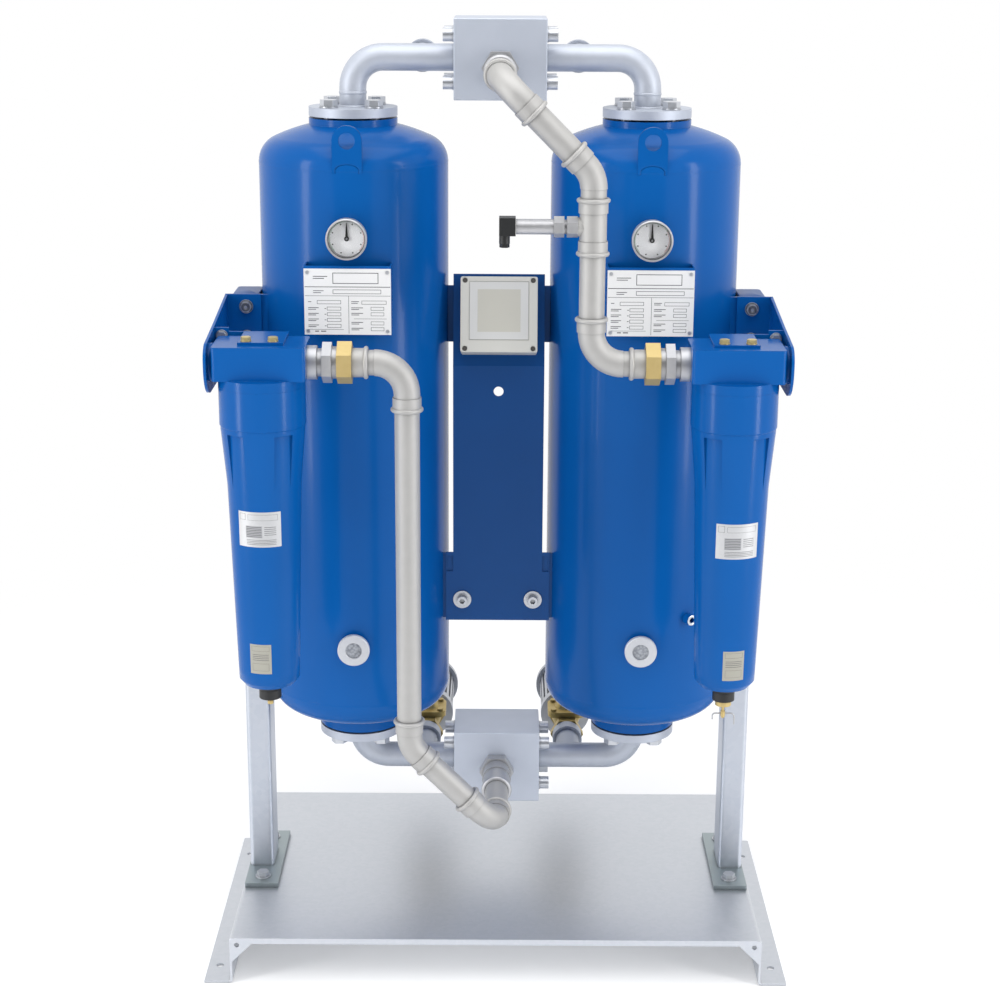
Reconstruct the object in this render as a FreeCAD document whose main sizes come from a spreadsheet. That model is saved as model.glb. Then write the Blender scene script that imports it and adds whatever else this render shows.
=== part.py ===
# Twin-tower heatless desiccant air dryer on a folded steel base, with two press-fitted filters.
# Frame: millimetres, +Z up, X from the wet filter to the dry filter, front towards -Y.
# The origin is the centre of the four floor anchor holes, on the floor.
import FreeCAD, Part
import Sketcher
import math
import os
import re

SIZES = {
    # Folded base sheet
    "base_margin": 26,
    "base_front": 257,
    "base_rear": 311,
    "base_height": 80,
    "base_sheet": 4,
    "floor_flange": 42,
    "flange_rear_inset": 38,
    "anchor_edge": 23,
    "anchor_pitch_y": 412,
    "anchor_hole": 12,
    "lip_depth": 10,
    "gusset_leg": 42,
    "relief_hole": 8,
    # Posts and their foot plates
    "post_outset": 171,
    "post_width": 41,
    "post_depth": 72,
    "post_wall": 3,
    "post_corner": 7,
    "post_y": 25,
    "post_top": 1082,
    "foot_plate_width": 56,
    "foot_plate_length": 206,
    "foot_plate_thickness": 8,
    "foot_plate_offset": 6,
    "foot_screw_pitch": 154,
    "foot_screw_size": 12,
    "foot_washer": 26,
    # Towers
    "tower_spacing": 464,
    "tower_y": 46,
    "tower_diameter": 300,
    "tower_wall": 5,
    "top_tangent": 1289,
    "bottom_tangent": 417,
    "crown_radius": 300,
    "knuckle_radius": 42,
    "nozzle_diameter": 140,
    "nozzle_top": 1357,
    "nozzle_bottom": 340,
    "nozzle_bore": 37,
    "bed_top": 1275,
    "screen_thickness": 3,
    "screen_hole": 20,
    "ledge_height": 6,
    "ear_thickness": 8,
    "ear_height": 108,
    "upper_ear_z": 1030,
    "lower_ear_z": 560,
    "ear_bolt_pitch": 49,
    "ear_bolt_rise": 11.5,
    "ear_bolt_size": 10,
    "ear_bolt_flats": 16,
    "ear_washer": 22,
    "sample_angle": 30.7,
    "sample_z": 568,
    "sample_boss": 18,
    "sample_hole": 8.5,
    # Flanges and tower pipes
    "flange_diameter": 140,
    "flange_thickness": 14,
    "gasket_thickness": 3,
    "gasket_diameter": 82,
    "bolt_circle": 100,
    "tapped_depth": 9.5,
    "flange_bolt": 16,
    "flange_bolt_flats": 24,
    "pipe_diameter": 42.4,
    "pipe_wall": 2.6,
    "pipe_bend": 47.5,
    "upper_pipe_z": 1450,
    "lower_pipe_z": 272.5,
    "branch_x": 124,
    "branch_diameter": 40,
    "branch_collar": 51,
    "branch_length": 64,
    # Valve blocks
    "block_width": 144.5,
    "block_depth": 112,
    "block_height": 124,
    "block_edge": 1,
    "pipe_entry": 24,
    "shuttle_bore": 36,
    "shuttle_length": 44,
    "running_clearance": 0.05,
    "seat_clearance": 0.3,
    "front_port_bore": 33,
    "screw_pitch_y": 70,
    "screw_pitch_z": 73,
    "screw_head": 21,
    "screw_head_height": 17,
    "screw_size": 14,
    "upper_port_drop": 12,
    "lower_port_drop": 2,
    # Press-fitted pipework in front of the towers
    "front_run": 284,
    "riser_x": 137,
    "tube_diameter": 38,
    "tube_wall": 1.5,
    "socket_diameter": 43.5,
    "bead_diameter": 49.5,
    "bead_width": 7,
    "press_bend": 48,
    "fitting_diameter": 40,
    "socket_depth": 22,
    "short_mouth": 45,
    "long_mouth": 74.5,
    "rise_mouth": 70.5,
    "slant_mouth": 68.5,
    "entry_mouth": 62,
    "union_length": 90.5,
    "union_flats": 54,
    "union_nut_flats": 56,
    "adapter_length": 94,
    "adapter_flats": 50,
    "tee_z": 1225.5,
    "tee_height": 85,
    "tee_branch_diameter": 28,
    "stub_end": 114.6,
    "sensor_thread": 13,
    "sensor_flats": 27,
    "sensor_diameter": 22.5,
    "sensor_plug_end": 23.7,
    "sensor_plug_length": 24.2,
    "filter_port_z": 1021.5,
    # Filters
    "filter_inset": 49.5,
    "head_width": 138,
    "head_depth": 92,
    "head_top": 1052,
    "head_bottom": 1001,
    "head_port": 34,
    "head_corner": 6,
    "bowl_mouth": 108,
    "pocket_angle": 28,
    "element_diameter": 64,
    "element_bottom": 560,
    "collar_diameter": 130,
    "collar_bottom": 929,
    "shoulder_diameter": 117,
    "rib_diameter": 127,
    "rib_gap": 7,
    "rib_bottom": 836,
    "bowl_waist": 112,
    "bowl_foot": 93.6,
    "bowl_foot_z": 521,
    "bowl_bottom": 503,
    "bowl_wall": 4,
    "bracket_sheet": 4,
    "wing_gap": 7.5,
    "bracket_round": 46,
    "wing_top": 1085.5,
    "wing_hole": 58,
    "ear_plate_inset": 26,
    "tab_front": -264,
    "tab_bolt_y": -254,
    "tab_bolt_offset": 20,
    "tab_bolt_size": 8,
    "tab_bolt_flats": 13,
    "flap_bolt_edge": 15,
    "flap_bolt_z": 1050,
    "rear_gap": 12,
    "drain_nut_diameter": 34.5,
    "drain_nut_height": 14,
    "lever_wire": 2.4,
    # Centre panel and controller
    "panel_clearance": 8.5,
    "panel_sheet": 2.5,
    "panel_y": -6,
    "panel_fold_z": 968,
    "panel_tilt": 16,
    "panel_upper": 148,
    "panel_foot_step": 12.5,
    "panel_foot_top": 654,
    "panel_bottom": 536,
    "panel_bolt_edge": 27.5,
    "panel_bolt_z": 572.5,
    "panel_bolt_size": 10,
    "panel_washer": 30,
    "panel_hole": 16,
    "panel_hole_z": 926,
    "notch_bottom": 621,
    "cheek_low": 999,
    "cheek_high": 1091,
    "crossbar_y": 36,
    "crossbar_sheet": 4,
    "case_width": 122,
    "case_height": 120,
    "case_depth": 52,
    "case_low": 18,
    "case_screw": 54,
    "screen_width": 94.5,
    "screen_height": 93,
    # Gauges, sight glasses and nameplates
    "gauge_diameter": 63,
    "gauge_depth": 26,
    "gauge_standoff": 36,
    "gauge_z": 1190,
    "spindle": 3,
    "needle_length": 24.5,
    "sight_diameter": 52,
    "sight_glass": 26,
    "sight_z": 521,
    "sight_standoff": 15,
    "nameplate_width": 133,
    "nameplate_height": 102,
    "nameplate_z": 1093,
    "nameplate_standoff": 25,
    "rivet_pitch_x": 122,
    "rivet_pitch_z": 91,
    "rivet_size": 3.2,
    "lug_width": 46,
    "lug_thickness": 8,
    "lug_hole": 25,
    "lug_rise": 45,
    # Exhaust valves and silencers
    "exhaust_start": 90,
    "valve_length": 100,
    "cap_length": 20,
    "valve_diameter": 66,
    "valve_barrel": 40,
    "valve_hex_length": 16,
    "bonnet_corner": 14,
    "bonnet_height": 10,
    "bonnet_rise": 24,
    "bonnet_bolt": 23,
    "bonnet_screw": 10,
    "dome_diameter": 42,
    "dome_height": 10,
    "cap_diameter": 88,
    "silencer_diameter": 86,
    "silencer_length": 135,
    "end_ring_length": 12,
    "end_ring_diameter": 100,
}

# Places and widths that follow the towers: posts stand outside them, the base reaches past the posts,
# each filter hangs inside its post, and the panel fills the space between the shells
FOLLOWING = {
    "post_spacing": "tower_spacing + 2 * post_outset",
    "base_width": "post_spacing + 2 * base_margin",
    "anchor_pitch_x": "base_width + 2 * anchor_edge",
    "filter_x": "post_spacing / 2 - filter_inset",
    "bracket_reach": "filter_x + head_width / 2 + wing_gap + bracket_sheet",
    "ear_plate_in": "post_spacing / 2 - ear_plate_inset",
    "flap_bolt_x": "bracket_reach - flap_bolt_edge",
    "rib_top": "collar_bottom - rib_gap",
    "panel_width": "tower_spacing - tower_diameter - 2 * panel_clearance",
    "panel_foot_width": "panel_width + 2 * panel_foot_step",
    "panel_bolt_x": "panel_foot_width / 2 - panel_bolt_edge",
}

doc = FreeCAD.newDocument("desiccant_dryer")
sizes = doc.addObject("Spreadsheet::Sheet", "sizes")
cells = {alias: str(value) for alias, value in SIZES.items()}
cells.update({alias: "=" + formula for alias, formula in FOLLOWING.items()})
for row, (alias, content) in enumerate(cells.items(), start=1):
    sizes.set(f"A{row}", alias.replace("_", " "))
    sizes.set(f"B{row}", content)
    sizes.setAlias(f"B{row}", alias)
nodes = []


def bound(expression):
    """Point every sheet name in an expression at the sheet."""
    def word(match):
        text = match.group(0)
        return "sizes." + text if text in cells else text
    return re.sub(r"[a-z][a-z_0-9]*", word, str(expression))


def number(expression):
    """The present value of an expression, in millimetres or degrees."""
    return float(sizes.evalExpression(bound(expression)))


def bind(thing, prop, expression):
    """Tie one property to the sheet."""
    thing.setExpression(prop, bound(expression))


def place(thing, position, turn=None):
    """Turn an object, and tie its position to the sheet."""
    if turn is not None:
        thing.Placement = FreeCAD.Placement(FreeCAD.Vector(0, 0, 0), turn)
    for axis, expression in zip("xyz", position):
        bind(thing, ".Placement.Base." + axis, expression)
    return thing


X_AXIS = FreeCAD.Vector(1, 0, 0)
Y_AXIS = FreeCAD.Vector(0, 1, 0)
Z_AXIS = FreeCAD.Vector(0, 0, 1)
TURNS = {
    "z": FreeCAD.Rotation(),
    "-z": FreeCAD.Rotation(X_AXIS, 180),
    "x": FreeCAD.Rotation(Y_AXIS, 90),
    "-x": FreeCAD.Rotation(Y_AXIS, -90),
    "y": FreeCAD.Rotation(X_AXIS, -90),
    "-y": FreeCAD.Rotation(X_AXIS, 90),
}


def turn_to(start, travel):
    """The rotation that lays local X along start and local Y along travel."""
    first = FreeCAD.Vector(*start).normalize()
    second = FreeCAD.Vector(*travel).normalize()
    return FreeCAD.Rotation(first, second, first.cross(second), "ZXY")


def box(name, corner, extent, turn=None):
    """A block with its low corner at a place in the frame."""
    thing = doc.addObject("Part::Box", name)
    for prop, expression in zip(("Length", "Width", "Height"), extent):
        bind(thing, prop, expression)
    return place(thing, corner, turn)


def rod(name, foot, radius, length, direction="z"):
    """A round bar from its foot along one direction."""
    thing = doc.addObject("Part::Cylinder", name)
    bind(thing, "Radius", radius)
    bind(thing, "Height", length)
    turn = TURNS[direction] if isinstance(direction, str) else direction
    return place(thing, foot, turn)


def taper(name, foot, radius, end_radius, length, direction="z"):
    """A round bar whose radius changes along its length."""
    thing = doc.addObject("Part::Cone", name)
    bind(thing, "Radius1", radius)
    bind(thing, "Radius2", end_radius)
    bind(thing, "Height", length)
    return place(thing, foot, TURNS[direction] if isinstance(direction, str) else direction)


def hexagon(name, foot, across_flats, length, direction="z"):
    """A hexagonal bar, measured across its flats."""
    thing = doc.addObject("Part::Prism", name)
    thing.Polygon = 6
    bind(thing, "Circumradius", f"({across_flats}) / 2 / cos(30)")
    bind(thing, "Height", length)
    return place(thing, foot, TURNS[direction] if isinstance(direction, str) else direction)


def bend(name, centre, start, travel, bend_radius, radius, angle=90):
    """A piece of torus: it starts at centre + start * bend_radius and turns towards travel."""
    thing = doc.addObject("Part::Torus", name)
    bind(thing, "Radius1", bend_radius)
    bind(thing, "Radius2", radius)
    bind(thing, "Angle3", angle)
    return place(thing, centre, turn_to(start, travel))


def fuse(name, parts):
    thing = doc.addObject("Part::MultiFuse", name)
    thing.Shapes = parts
    thing.Refine = True
    return thing


def cut(name, base, tools):
    tool = tools[0] if len(tools) == 1 else fuse(name + "_tools", tools)
    thing = doc.addObject("Part::Cut", name)
    thing.Base = base
    thing.Tool = tool
    thing.Refine = True
    return thing


def group(name, parts):
    """Like pieces that stay separate solids in one node."""
    thing = doc.addObject("Part::Compound", name)
    thing.Links = parts
    return thing


def node(label, thing):
    """Name a finished piece: the label is its file name."""
    thing.Label = label
    nodes.append(thing)
    return thing


def origin_plane(body, role):
    return [item for item in body.Origin.OriginFeatures if item.Role == role][0]


def outline(body, name, role, corners, arcs=None):
    """A closed sketch. Each corner is a pair of expressions; arcs gives a radius for the edge
    that leaves a corner, positive where the edge bulges to the right of its direction."""
    arcs = arcs or {}
    sketch = body.newObject("Sketcher::SketchObject", name)
    sketch.AttachmentSupport = [(origin_plane(body, role), "")]
    sketch.MapMode = "FlatFace"
    points = [FreeCAD.Vector(number(a), number(b), 0) for a, b in corners]
    count = len(points)
    for index, start in enumerate(points):
        end = points[(index + 1) % count]
        if index in arcs:
            radius = number(arcs[index].lstrip("-"))
            side = -1 if arcs[index].startswith("-") else 1
            chord = end - start
            middle = (start + end) * 0.5
            right = FreeCAD.Vector(chord.y, -chord.x, 0).normalize()
            depth = math.sqrt(max(radius ** 2 - (chord.Length / 2) ** 2, 0))
            centre = middle - right * depth * side
            crest = centre + right * radius * side
            first, last = (start, end) if side > 0 else (end, start)
            sketch.addGeometry(Part.Arc(first, crest, last), False)
        else:
            sketch.addGeometry(Part.LineSegment(start, end), False)
    ends = []
    for index, start in enumerate(points):
        curve = sketch.Geometry[index]
        forward = (curve.StartPoint - start).Length < 1e-6
        ends.append((1, 2) if forward else (2, 1))
    for index in range(count):
        following = (index + 1) % count
        sketch.addConstraint(Sketcher.Constraint("Coincident", index, ends[index][1], following, ends[following][0]))
    for index, (across, upward) in enumerate(corners):
        start = ends[index][0]
        across_id = sketch.addConstraint(Sketcher.Constraint("DistanceX", index, start, points[index].x))
        bind(sketch, f"Constraints[{across_id}]", across)
        upward_id = sketch.addConstraint(Sketcher.Constraint("DistanceY", index, start, points[index].y))
        bind(sketch, f"Constraints[{upward_id}]", upward)
        if index in arcs:
            radius_id = sketch.addConstraint(Sketcher.Constraint("Radius", index, number(arcs[index].lstrip("-"))))
            bind(sketch, f"Constraints[{radius_id}]", arcs[index].lstrip("-"))
    return sketch


def turned(name, corners, arcs=None):
    """A body turned about its own Z axis from a half section of (radius, height) corners."""
    body = doc.addObject("PartDesign::Body", name)
    sketch = outline(body, name + "_section", "XZ_Plane", corners, arcs)
    revolution = body.newObject("PartDesign::Revolution", name + "_turn")
    revolution.Profile = sketch
    revolution.ReferenceAxis = (sketch, ["V_Axis"])
    revolution.Angle = 360
    return body


def plate(name, role, corners, thickness, arcs=None, both=False):
    """A body padded from a closed outline on one of its origin planes."""
    body = doc.addObject("PartDesign::Body", name)
    sketch = outline(body, name + "_outline", role, corners, arcs)
    pad = body.newObject("PartDesign::Pad", name + "_pad")
    pad.Profile = sketch
    bind(pad, "Length", thickness)
    pad.Midplane = both
    return body


doc.recompute()

SIDES = {"left": -1, "right": 1}

# Folded base: a hat section with a front and a rear skirt
half_base = "base_width / 2"
inner_half = "(base_width / 2 - base_sheet)"
inner_bend = 2
outer_bend = f"(base_sheet + {inner_bend})"
under_top = "(base_height - base_sheet)"
right_profile = [
    (f"{inner_half} - {inner_bend}", under_top),
    (inner_half, f"{under_top} - {inner_bend}"),
    (inner_half, outer_bend),
    (f"{inner_half} + {outer_bend}", "0"),
    (f"{half_base} + floor_flange", "0"),
    (f"{half_base} + floor_flange", "base_sheet"),
    (f"{half_base} + {inner_bend}", "base_sheet"),
    (half_base, f"base_sheet + {inner_bend}"),
    (half_base, f"base_height - {outer_bend}"),
    (f"{half_base} - {outer_bend}", "base_height"),
]
left_profile = [(f"-({across})", upward) for across, upward in reversed(right_profile)]
bend_arcs = {
    0: f"-{inner_bend}", 2: outer_bend, 6: f"-{inner_bend}", 8: outer_bend,
    10: outer_bend, 12: f"-{inner_bend}", 16: outer_bend, 18: f"-{inner_bend}",
}
hat = plate("base_hat", "XZ_Plane", right_profile + left_profile, "base_front + base_rear", bend_arcs)
place(hat, ("0", "base_rear", "0"))
skirts = []
skirt_corners = [
    (f"-{inner_half}", "base_height - 1"),
    (f"-{inner_half}", "base_height - gusset_leg"),
    (f"-{inner_half} + gusset_leg - lip_depth", "base_height - lip_depth"),
    (f"{inner_half} - gusset_leg + lip_depth", "base_height - lip_depth"),
    (inner_half, "base_height - gusset_leg"),
    (inner_half, "base_height - 1"),
]
for end, edge in (("front", "-base_front + base_sheet"), ("rear", "base_rear")):
    skirt = plate("skirt_" + end, "XZ_Plane", skirt_corners, "base_sheet")
    skirts.append(place(skirt, ("0", edge, "0")))
base_cuts = []
for side, s in SIDES.items():
    base_cuts.append(box("flange_end_" + side, (f"{s} * ({half_base} + floor_flange / 2 + 1.5) - floor_flange / 2",
                         "base_rear - flange_rear_inset", "-1"),
                         ("floor_flange", "flange_rear_inset + 1", f"base_sheet + {inner_bend} + 1")))
    for end, way in (("front", -1), ("rear", 1)):
        base_cuts.append(rod(f"anchor_{side}_{end}", (f"{s} * anchor_pitch_x / 2", f"{way} * anchor_pitch_y / 2", "-1"),
                             "anchor_hole / 2", "base_sheet + 2"))
        screw_y = f"post_y + {way} * foot_screw_pitch / 2"
        screw_x = f"{s} * (post_spacing / 2 - foot_plate_offset)"
        base_cuts.append(rod(f"foot_hole_{side}_{end}", (screw_x, screw_y, f"{under_top} - 1"),
                             "foot_screw_size / 2 + seat_clearance", "base_sheet + 2"))
    base_cuts.append(rod("relief_" + side, (f"{s} * ({inner_half} - relief_hole)", "-base_front - 1",
                         "base_height - base_sheet - relief_hole"), "relief_hole / 2",
                         "base_front + base_rear + 2", "y"))
node("base_frame", cut("base_frame_cut", fuse("base_sheets", [hat] + skirts), base_cuts))


def rounded(width, depth, corner):
    """The eight corners and four arcs of a rounded rectangle centred on the origin."""
    right, back = f"({width}) / 2", f"({depth}) / 2"
    corners = [
        (f"-{right} + {corner}", f"-{back}"), (f"{right} - {corner}", f"-{back}"),
        (right, f"-{back} + {corner}"), (right, f"{back} - {corner}"),
        (f"{right} - {corner}", back), (f"-{right} + {corner}", back),
        (f"-{right}", f"{back} - {corner}"), (f"-{right}", f"-{back} + {corner}"),
    ]
    return corners, {index: corner for index in (1, 3, 5, 7)}


# Posts: rectangular tube welded on a foot plate
ear_front = "(post_y - post_depth / 2 - ear_thickness)"
bracket_front = f"({ear_front} - bracket_sheet)"
ear_bolt_x = "(post_spacing / 2 - 2)"
ear_bolts = [("upper", "upper_ear_z"), ("lower", "lower_ear_z")]
plate_top = "(base_height + foot_plate_thickness)"
for side, s in SIDES.items():
    corners, arcs = rounded("post_width", "post_depth", "post_corner")
    tube = plate("post_outside_" + side, "XY_Plane", corners, "post_top - base_height - foot_plate_thickness", arcs)
    place(tube, (f"{s} * post_spacing / 2", "post_y", plate_top))
    corners, arcs = rounded("post_width - 2 * post_wall", "post_depth - 2 * post_wall", "(post_corner - post_wall)")
    bore = plate("post_inside_" + side, "XY_Plane", corners, "post_top", arcs)
    place(bore, (f"{s} * post_spacing / 2", "post_y", plate_top))
    foot = box("foot_plate_" + side, (f"{s} * (post_spacing / 2 - foot_plate_offset) - foot_plate_width / 2",
               "post_y - foot_plate_length / 2", "base_height"),
               ("foot_plate_width", "foot_plate_length", "foot_plate_thickness"))
    holes = [bore]
    for end, way in (("front", -1), ("rear", 1)):
        holes.append(rod(f"plate_hole_{side}_{end}", (f"{s} * (post_spacing / 2 - foot_plate_offset)",
                         f"post_y + {way} * foot_screw_pitch / 2", "base_height - 1"),
                         "foot_screw_size / 2 + seat_clearance", "foot_plate_thickness + 2"))
    for name, height in ear_bolts:
        for way in (-1, 1):
            holes.append(rod(f"post_hole_{side}_{name}_{way + 1}", (f"{s} * {ear_bolt_x}", "post_y - post_depth / 2 - 1",
                             f"{height} + ear_bolt_rise + {way} * ear_bolt_pitch / 2"), "ear_bolt_size / 2 + seat_clearance", "post_wall + 2", "y"))
    node("post_" + side, cut("post_cut_" + side, fuse("post_weld_" + side, [tube, foot]), holes))

# Towers: shells with dished ends, nozzles, ears and bosses
crown_drop = "sqrt((crown_radius - knuckle_radius)^2 - (tower_diameter / 2 - knuckle_radius)^2)"
joint_share = "(tower_diameter / 2 - knuckle_radius) / (crown_radius - knuckle_radius)"
outer_joint_r = f"crown_radius * {joint_share}"
outer_joint_rise = f"{crown_drop} * knuckle_radius / (crown_radius - knuckle_radius)"
inner_joint_r = f"(crown_radius - tower_wall) * {joint_share}"
inner_joint_rise = f"{crown_drop} * (knuckle_radius - tower_wall) / (crown_radius - knuckle_radius)"
ring_rise = f"(sqrt(crown_radius^2 - (nozzle_diameter / 2)^2) - {crown_drop})"
bore_rise = f"(sqrt((crown_radius - tower_wall)^2 - (nozzle_bore / 2)^2) - {crown_drop})"
inner_radius = "(tower_diameter / 2 - tower_wall)"
shell_section = [
    ("nozzle_bore / 2", "nozzle_top"),
    ("nozzle_diameter / 2", "nozzle_top"),
    ("nozzle_diameter / 2", f"top_tangent + {ring_rise}"),
    (outer_joint_r, f"top_tangent + {outer_joint_rise}"),
    ("tower_diameter / 2", "top_tangent"),
    ("tower_diameter / 2", "bottom_tangent"),
    (outer_joint_r, f"bottom_tangent - {outer_joint_rise}"),
    ("nozzle_diameter / 2", f"bottom_tangent - {ring_rise}"),
    ("nozzle_diameter / 2", "nozzle_bottom"),
    ("nozzle_bore / 2", "nozzle_bottom"),
    ("nozzle_bore / 2", f"bottom_tangent - {bore_rise}"),
    (inner_joint_r, f"bottom_tangent - {inner_joint_rise}"),
    (inner_radius, "bottom_tangent"),
    (inner_radius, "top_tangent"),
    (inner_joint_r, f"top_tangent + {inner_joint_rise}"),
    ("nozzle_bore / 2", f"top_tangent + {bore_rise}"),
]
shell_arcs = {
    2: "-crown_radius", 3: "-knuckle_radius", 5: "-knuckle_radius", 6: "-crown_radius",
    10: "crown_radius - tower_wall", 11: "knuckle_radius - tower_wall",
    13: "knuckle_radius - tower_wall", 14: "crown_radius - tower_wall",
}
tower_front = "(tower_y - tower_diameter / 2)"
gauge_face = f"({tower_front} - gauge_standoff)"
sight_face = f"({tower_front} - sight_standoff)"
nameplate_face = f"({tower_front} - nameplate_standoff)"
nameplate_sheet = 1.5
ear_root = "(tower_spacing / 2 + tower_diameter / 4)"
bolt_offset = "bolt_circle / 2 * cos(45)"
for side, s in SIDES.items():
    tower_x = f"{s} * tower_spacing / 2"
    shell = turned("shell_" + side, shell_section, shell_arcs)
    place(shell, (tower_x, "tower_y", "0"))
    welded = []
    for name, height in ear_bolts:
        low = ear_root if s > 0 else "-(bracket_reach - bracket_sheet)"
        ear = box(f"ear_{side}_{name}", (low, ear_front, f"{height} - ear_height / 2"),
                  (f"bracket_reach - bracket_sheet - {ear_root}", "ear_thickness", "ear_height"))
        holes = [rod(f"ear_hole_{side}_{name}_{way + 1}", (f"{s} * {ear_bolt_x}", f"{ear_front} - 1",
                     f"{height} + ear_bolt_rise + {way} * ear_bolt_pitch / 2"), "ear_bolt_size / 2 + seat_clearance", "ear_thickness + 2", "y") for way in (-1, 1)]
        welded.append(cut(f"ear_drilled_{side}_{name}", ear, holes))
    bracket_z = "(nameplate_z - nameplate_height / 2)"
    carrier = box("plate_carrier_" + side, (f"{tower_x} - nameplate_width / 2", f"{nameplate_face} + {nameplate_sheet}",
                  bracket_z), ("nameplate_width", f"nameplate_standoff + tower_diameter / 6", "nameplate_height + 4"))
    hollow = box("plate_hollow_" + side, (f"{tower_x} - nameplate_width / 2 + 2", f"{nameplate_face} + 3.5",
                 bracket_z + " - 1"), ("nameplate_width - 4", "nameplate_standoff + tower_diameter / 6",
                 "nameplate_height + 6"))
    rivet_holes = [rod(f"rivet_hole_{side}_{index}", (f"{tower_x} + {dx} * rivet_pitch_x / 2", f"{nameplate_face} - 1",
                       f"nameplate_z + {dz} * rivet_pitch_z / 2"), "rivet_size / 2 + seat_clearance", "8", "y")
                   for index, (dx, dz) in enumerate(((1, 1), (1, -1), (-1, -1), (-1, 1)))]
    welded.append(cut("plate_bracket_" + side, carrier, [hollow] + rivet_holes))
    welded.append(rod("gauge_socket_" + side, (tower_x, f"{tower_front} + 20", "gauge_z"), "11", "24", "-y"))
    boss = rod("sight_boss_" + side, (tower_x, f"{tower_front} + 20", "sight_z"), "sight_diameter / 2 - 4",
               "20 + sight_standoff - 8", "-y")
    pocket = rod("sight_pocket_" + side, (tower_x, f"{tower_front} + 3", "sight_z"), "sight_glass / 2 - 0.5", "20", "-y")
    welded.append(cut("sight_boss_cut_" + side, boss, [pocket]))
    sample_line = FreeCAD.Rotation(Z_AXIS, number("sample_angle")).multiply(TURNS["-y"])
    if side == "right":
        reach = "(tower_diameter / 2 - 20)"
        sample_foot = (f"{tower_x} + {reach} * sin(sample_angle)", f"tower_y - {reach} * cos(sample_angle)", "sample_z")
        boss = rod("sample_boss", sample_foot, "sample_boss / 2", "33", sample_line)
        hole = rod("sample_hole", sample_foot, "sample_hole / 2", "40", sample_line)
        welded.append(cut("sample_boss_cut", boss, [hole]))
    core = rod("shell_core_" + side, (tower_x, "tower_y", "bottom_tangent"), "tower_diameter / 2 - 1",
               "top_tangent - bottom_tangent")
    outside = cut("welded_on_" + side, fuse("attachments_" + side, welded), [core])
    rings = []
    for end, level in (("low", "bottom_tangent"), ("high", "bed_top + screen_thickness")):
        ring = rod(f"ledge_{side}_{end}", (tower_x, "tower_y", level), "tower_diameter / 2 - 2", "ledge_height")
        eye = rod(f"ledge_eye_{side}_{end}", (tower_x, "tower_y", "bottom_tangent - 1"), "tower_diameter / 2 - 20",
                  "top_tangent - bottom_tangent + 2")
        rings.append(cut(f"ledge_ring_{side}_{end}", ring, [eye]))
    tapped = []
    for end, face, way in (("top", "nozzle_top + 1", "-z"), ("bottom", "nozzle_bottom - 1", "z")):
        for index, (dx, dy) in enumerate(((1, 1), (1, -1), (-1, -1), (-1, 1))):
            tapped.append(rod(f"nozzle_tapped_{side}_{end}_{index}", (f"{tower_x} + {dx} * {bolt_offset}",
                              f"tower_y + {dy} * {bolt_offset}", face), "flange_bolt / 2", "tapped_depth + 1", way))
    node("tower_" + side, cut("tower_cut_" + side, fuse("tower_weld_" + side, [shell, outside] + rings), tapped))

# Lifting lugs: flat plates welded to the front of each upper knuckle
dome_corners = [
    ("0", "bottom_tangent"), ("tower_diameter / 2", "bottom_tangent"), ("tower_diameter / 2", "top_tangent"),
    (outer_joint_r, f"top_tangent + {outer_joint_rise}"), ("0", f"top_tangent + crown_radius - {crown_drop}"),
]
lug_eye_z = "(top_tangent + lug_rise)"
lugs = []
for side, s in SIDES.items():
    tower_x = f"{s} * tower_spacing / 2"
    dome = turned("dome_form_" + side, dome_corners, {2: "knuckle_radius", 3: "crown_radius"})
    place(dome, (tower_x, "tower_y", "0"))
    lug = plate("lug_plate_" + side, "XZ_Plane", [
        ("-lug_width / 2", "top_tangent - 4"), ("lug_width / 2", "top_tangent - 4"),
        ("lug_width / 2", lug_eye_z), ("0", f"{lug_eye_z} + lug_width / 2"), ("-lug_width / 2", lug_eye_z),
    ], "lug_thickness", {2: "lug_width / 2", 3: "lug_width / 2"})
    place(lug, (tower_x, f"{tower_front} + lug_thickness + 1", "0"))
    eye = rod("lug_eye_" + side, (tower_x, f"{tower_front} - 5", lug_eye_z), "lug_hole / 2", "lug_thickness + 12", "y")
    lugs.append(cut("lug_cut_" + side, lug, [dome, eye]))
node("lifting_lugs", group("lug_group", lugs))

# Tower pipes: flange, bend and run into the valve block, with a branch to the rear
flange_faces = {
    "upper": ("nozzle_top + gasket_thickness", 1, "upper_pipe_z"),
    "lower": ("nozzle_bottom - gasket_thickness - flange_thickness", -1, "lower_pipe_z"),
}


def pipe_shape(name, s, level, radius, up, flange_end):
    """One solid tower pipe of a given radius, from the block to the flange face."""
    inner_end = "block_width / 2 - pipe_entry"
    run = f"tower_spacing / 2 - pipe_bend - ({inner_end})"
    parts = [rod(name + "_run", (f"{s} * ({inner_end})", "tower_y", level), radius, run, "x" if s > 0 else "-x")]
    ends = [(0, 0, up), (s, 0, 0)] if s == up else [(s, 0, 0), (0, 0, up)]
    parts.append(bend(name + "_bend", (f"{s} * (tower_spacing / 2 - pipe_bend)", "tower_y", f"{level} - {up} * pipe_bend"),
                      ends[0], ends[1], "pipe_bend", radius))
    drop = f"{up} * ({level} - {up} * pipe_bend - ({flange_end}))"
    parts.append(rod(name + "_drop", (f"{s} * tower_spacing / 2", "tower_y", flange_end), radius, drop, "z" if up > 0 else "-z"))
    return parts


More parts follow.
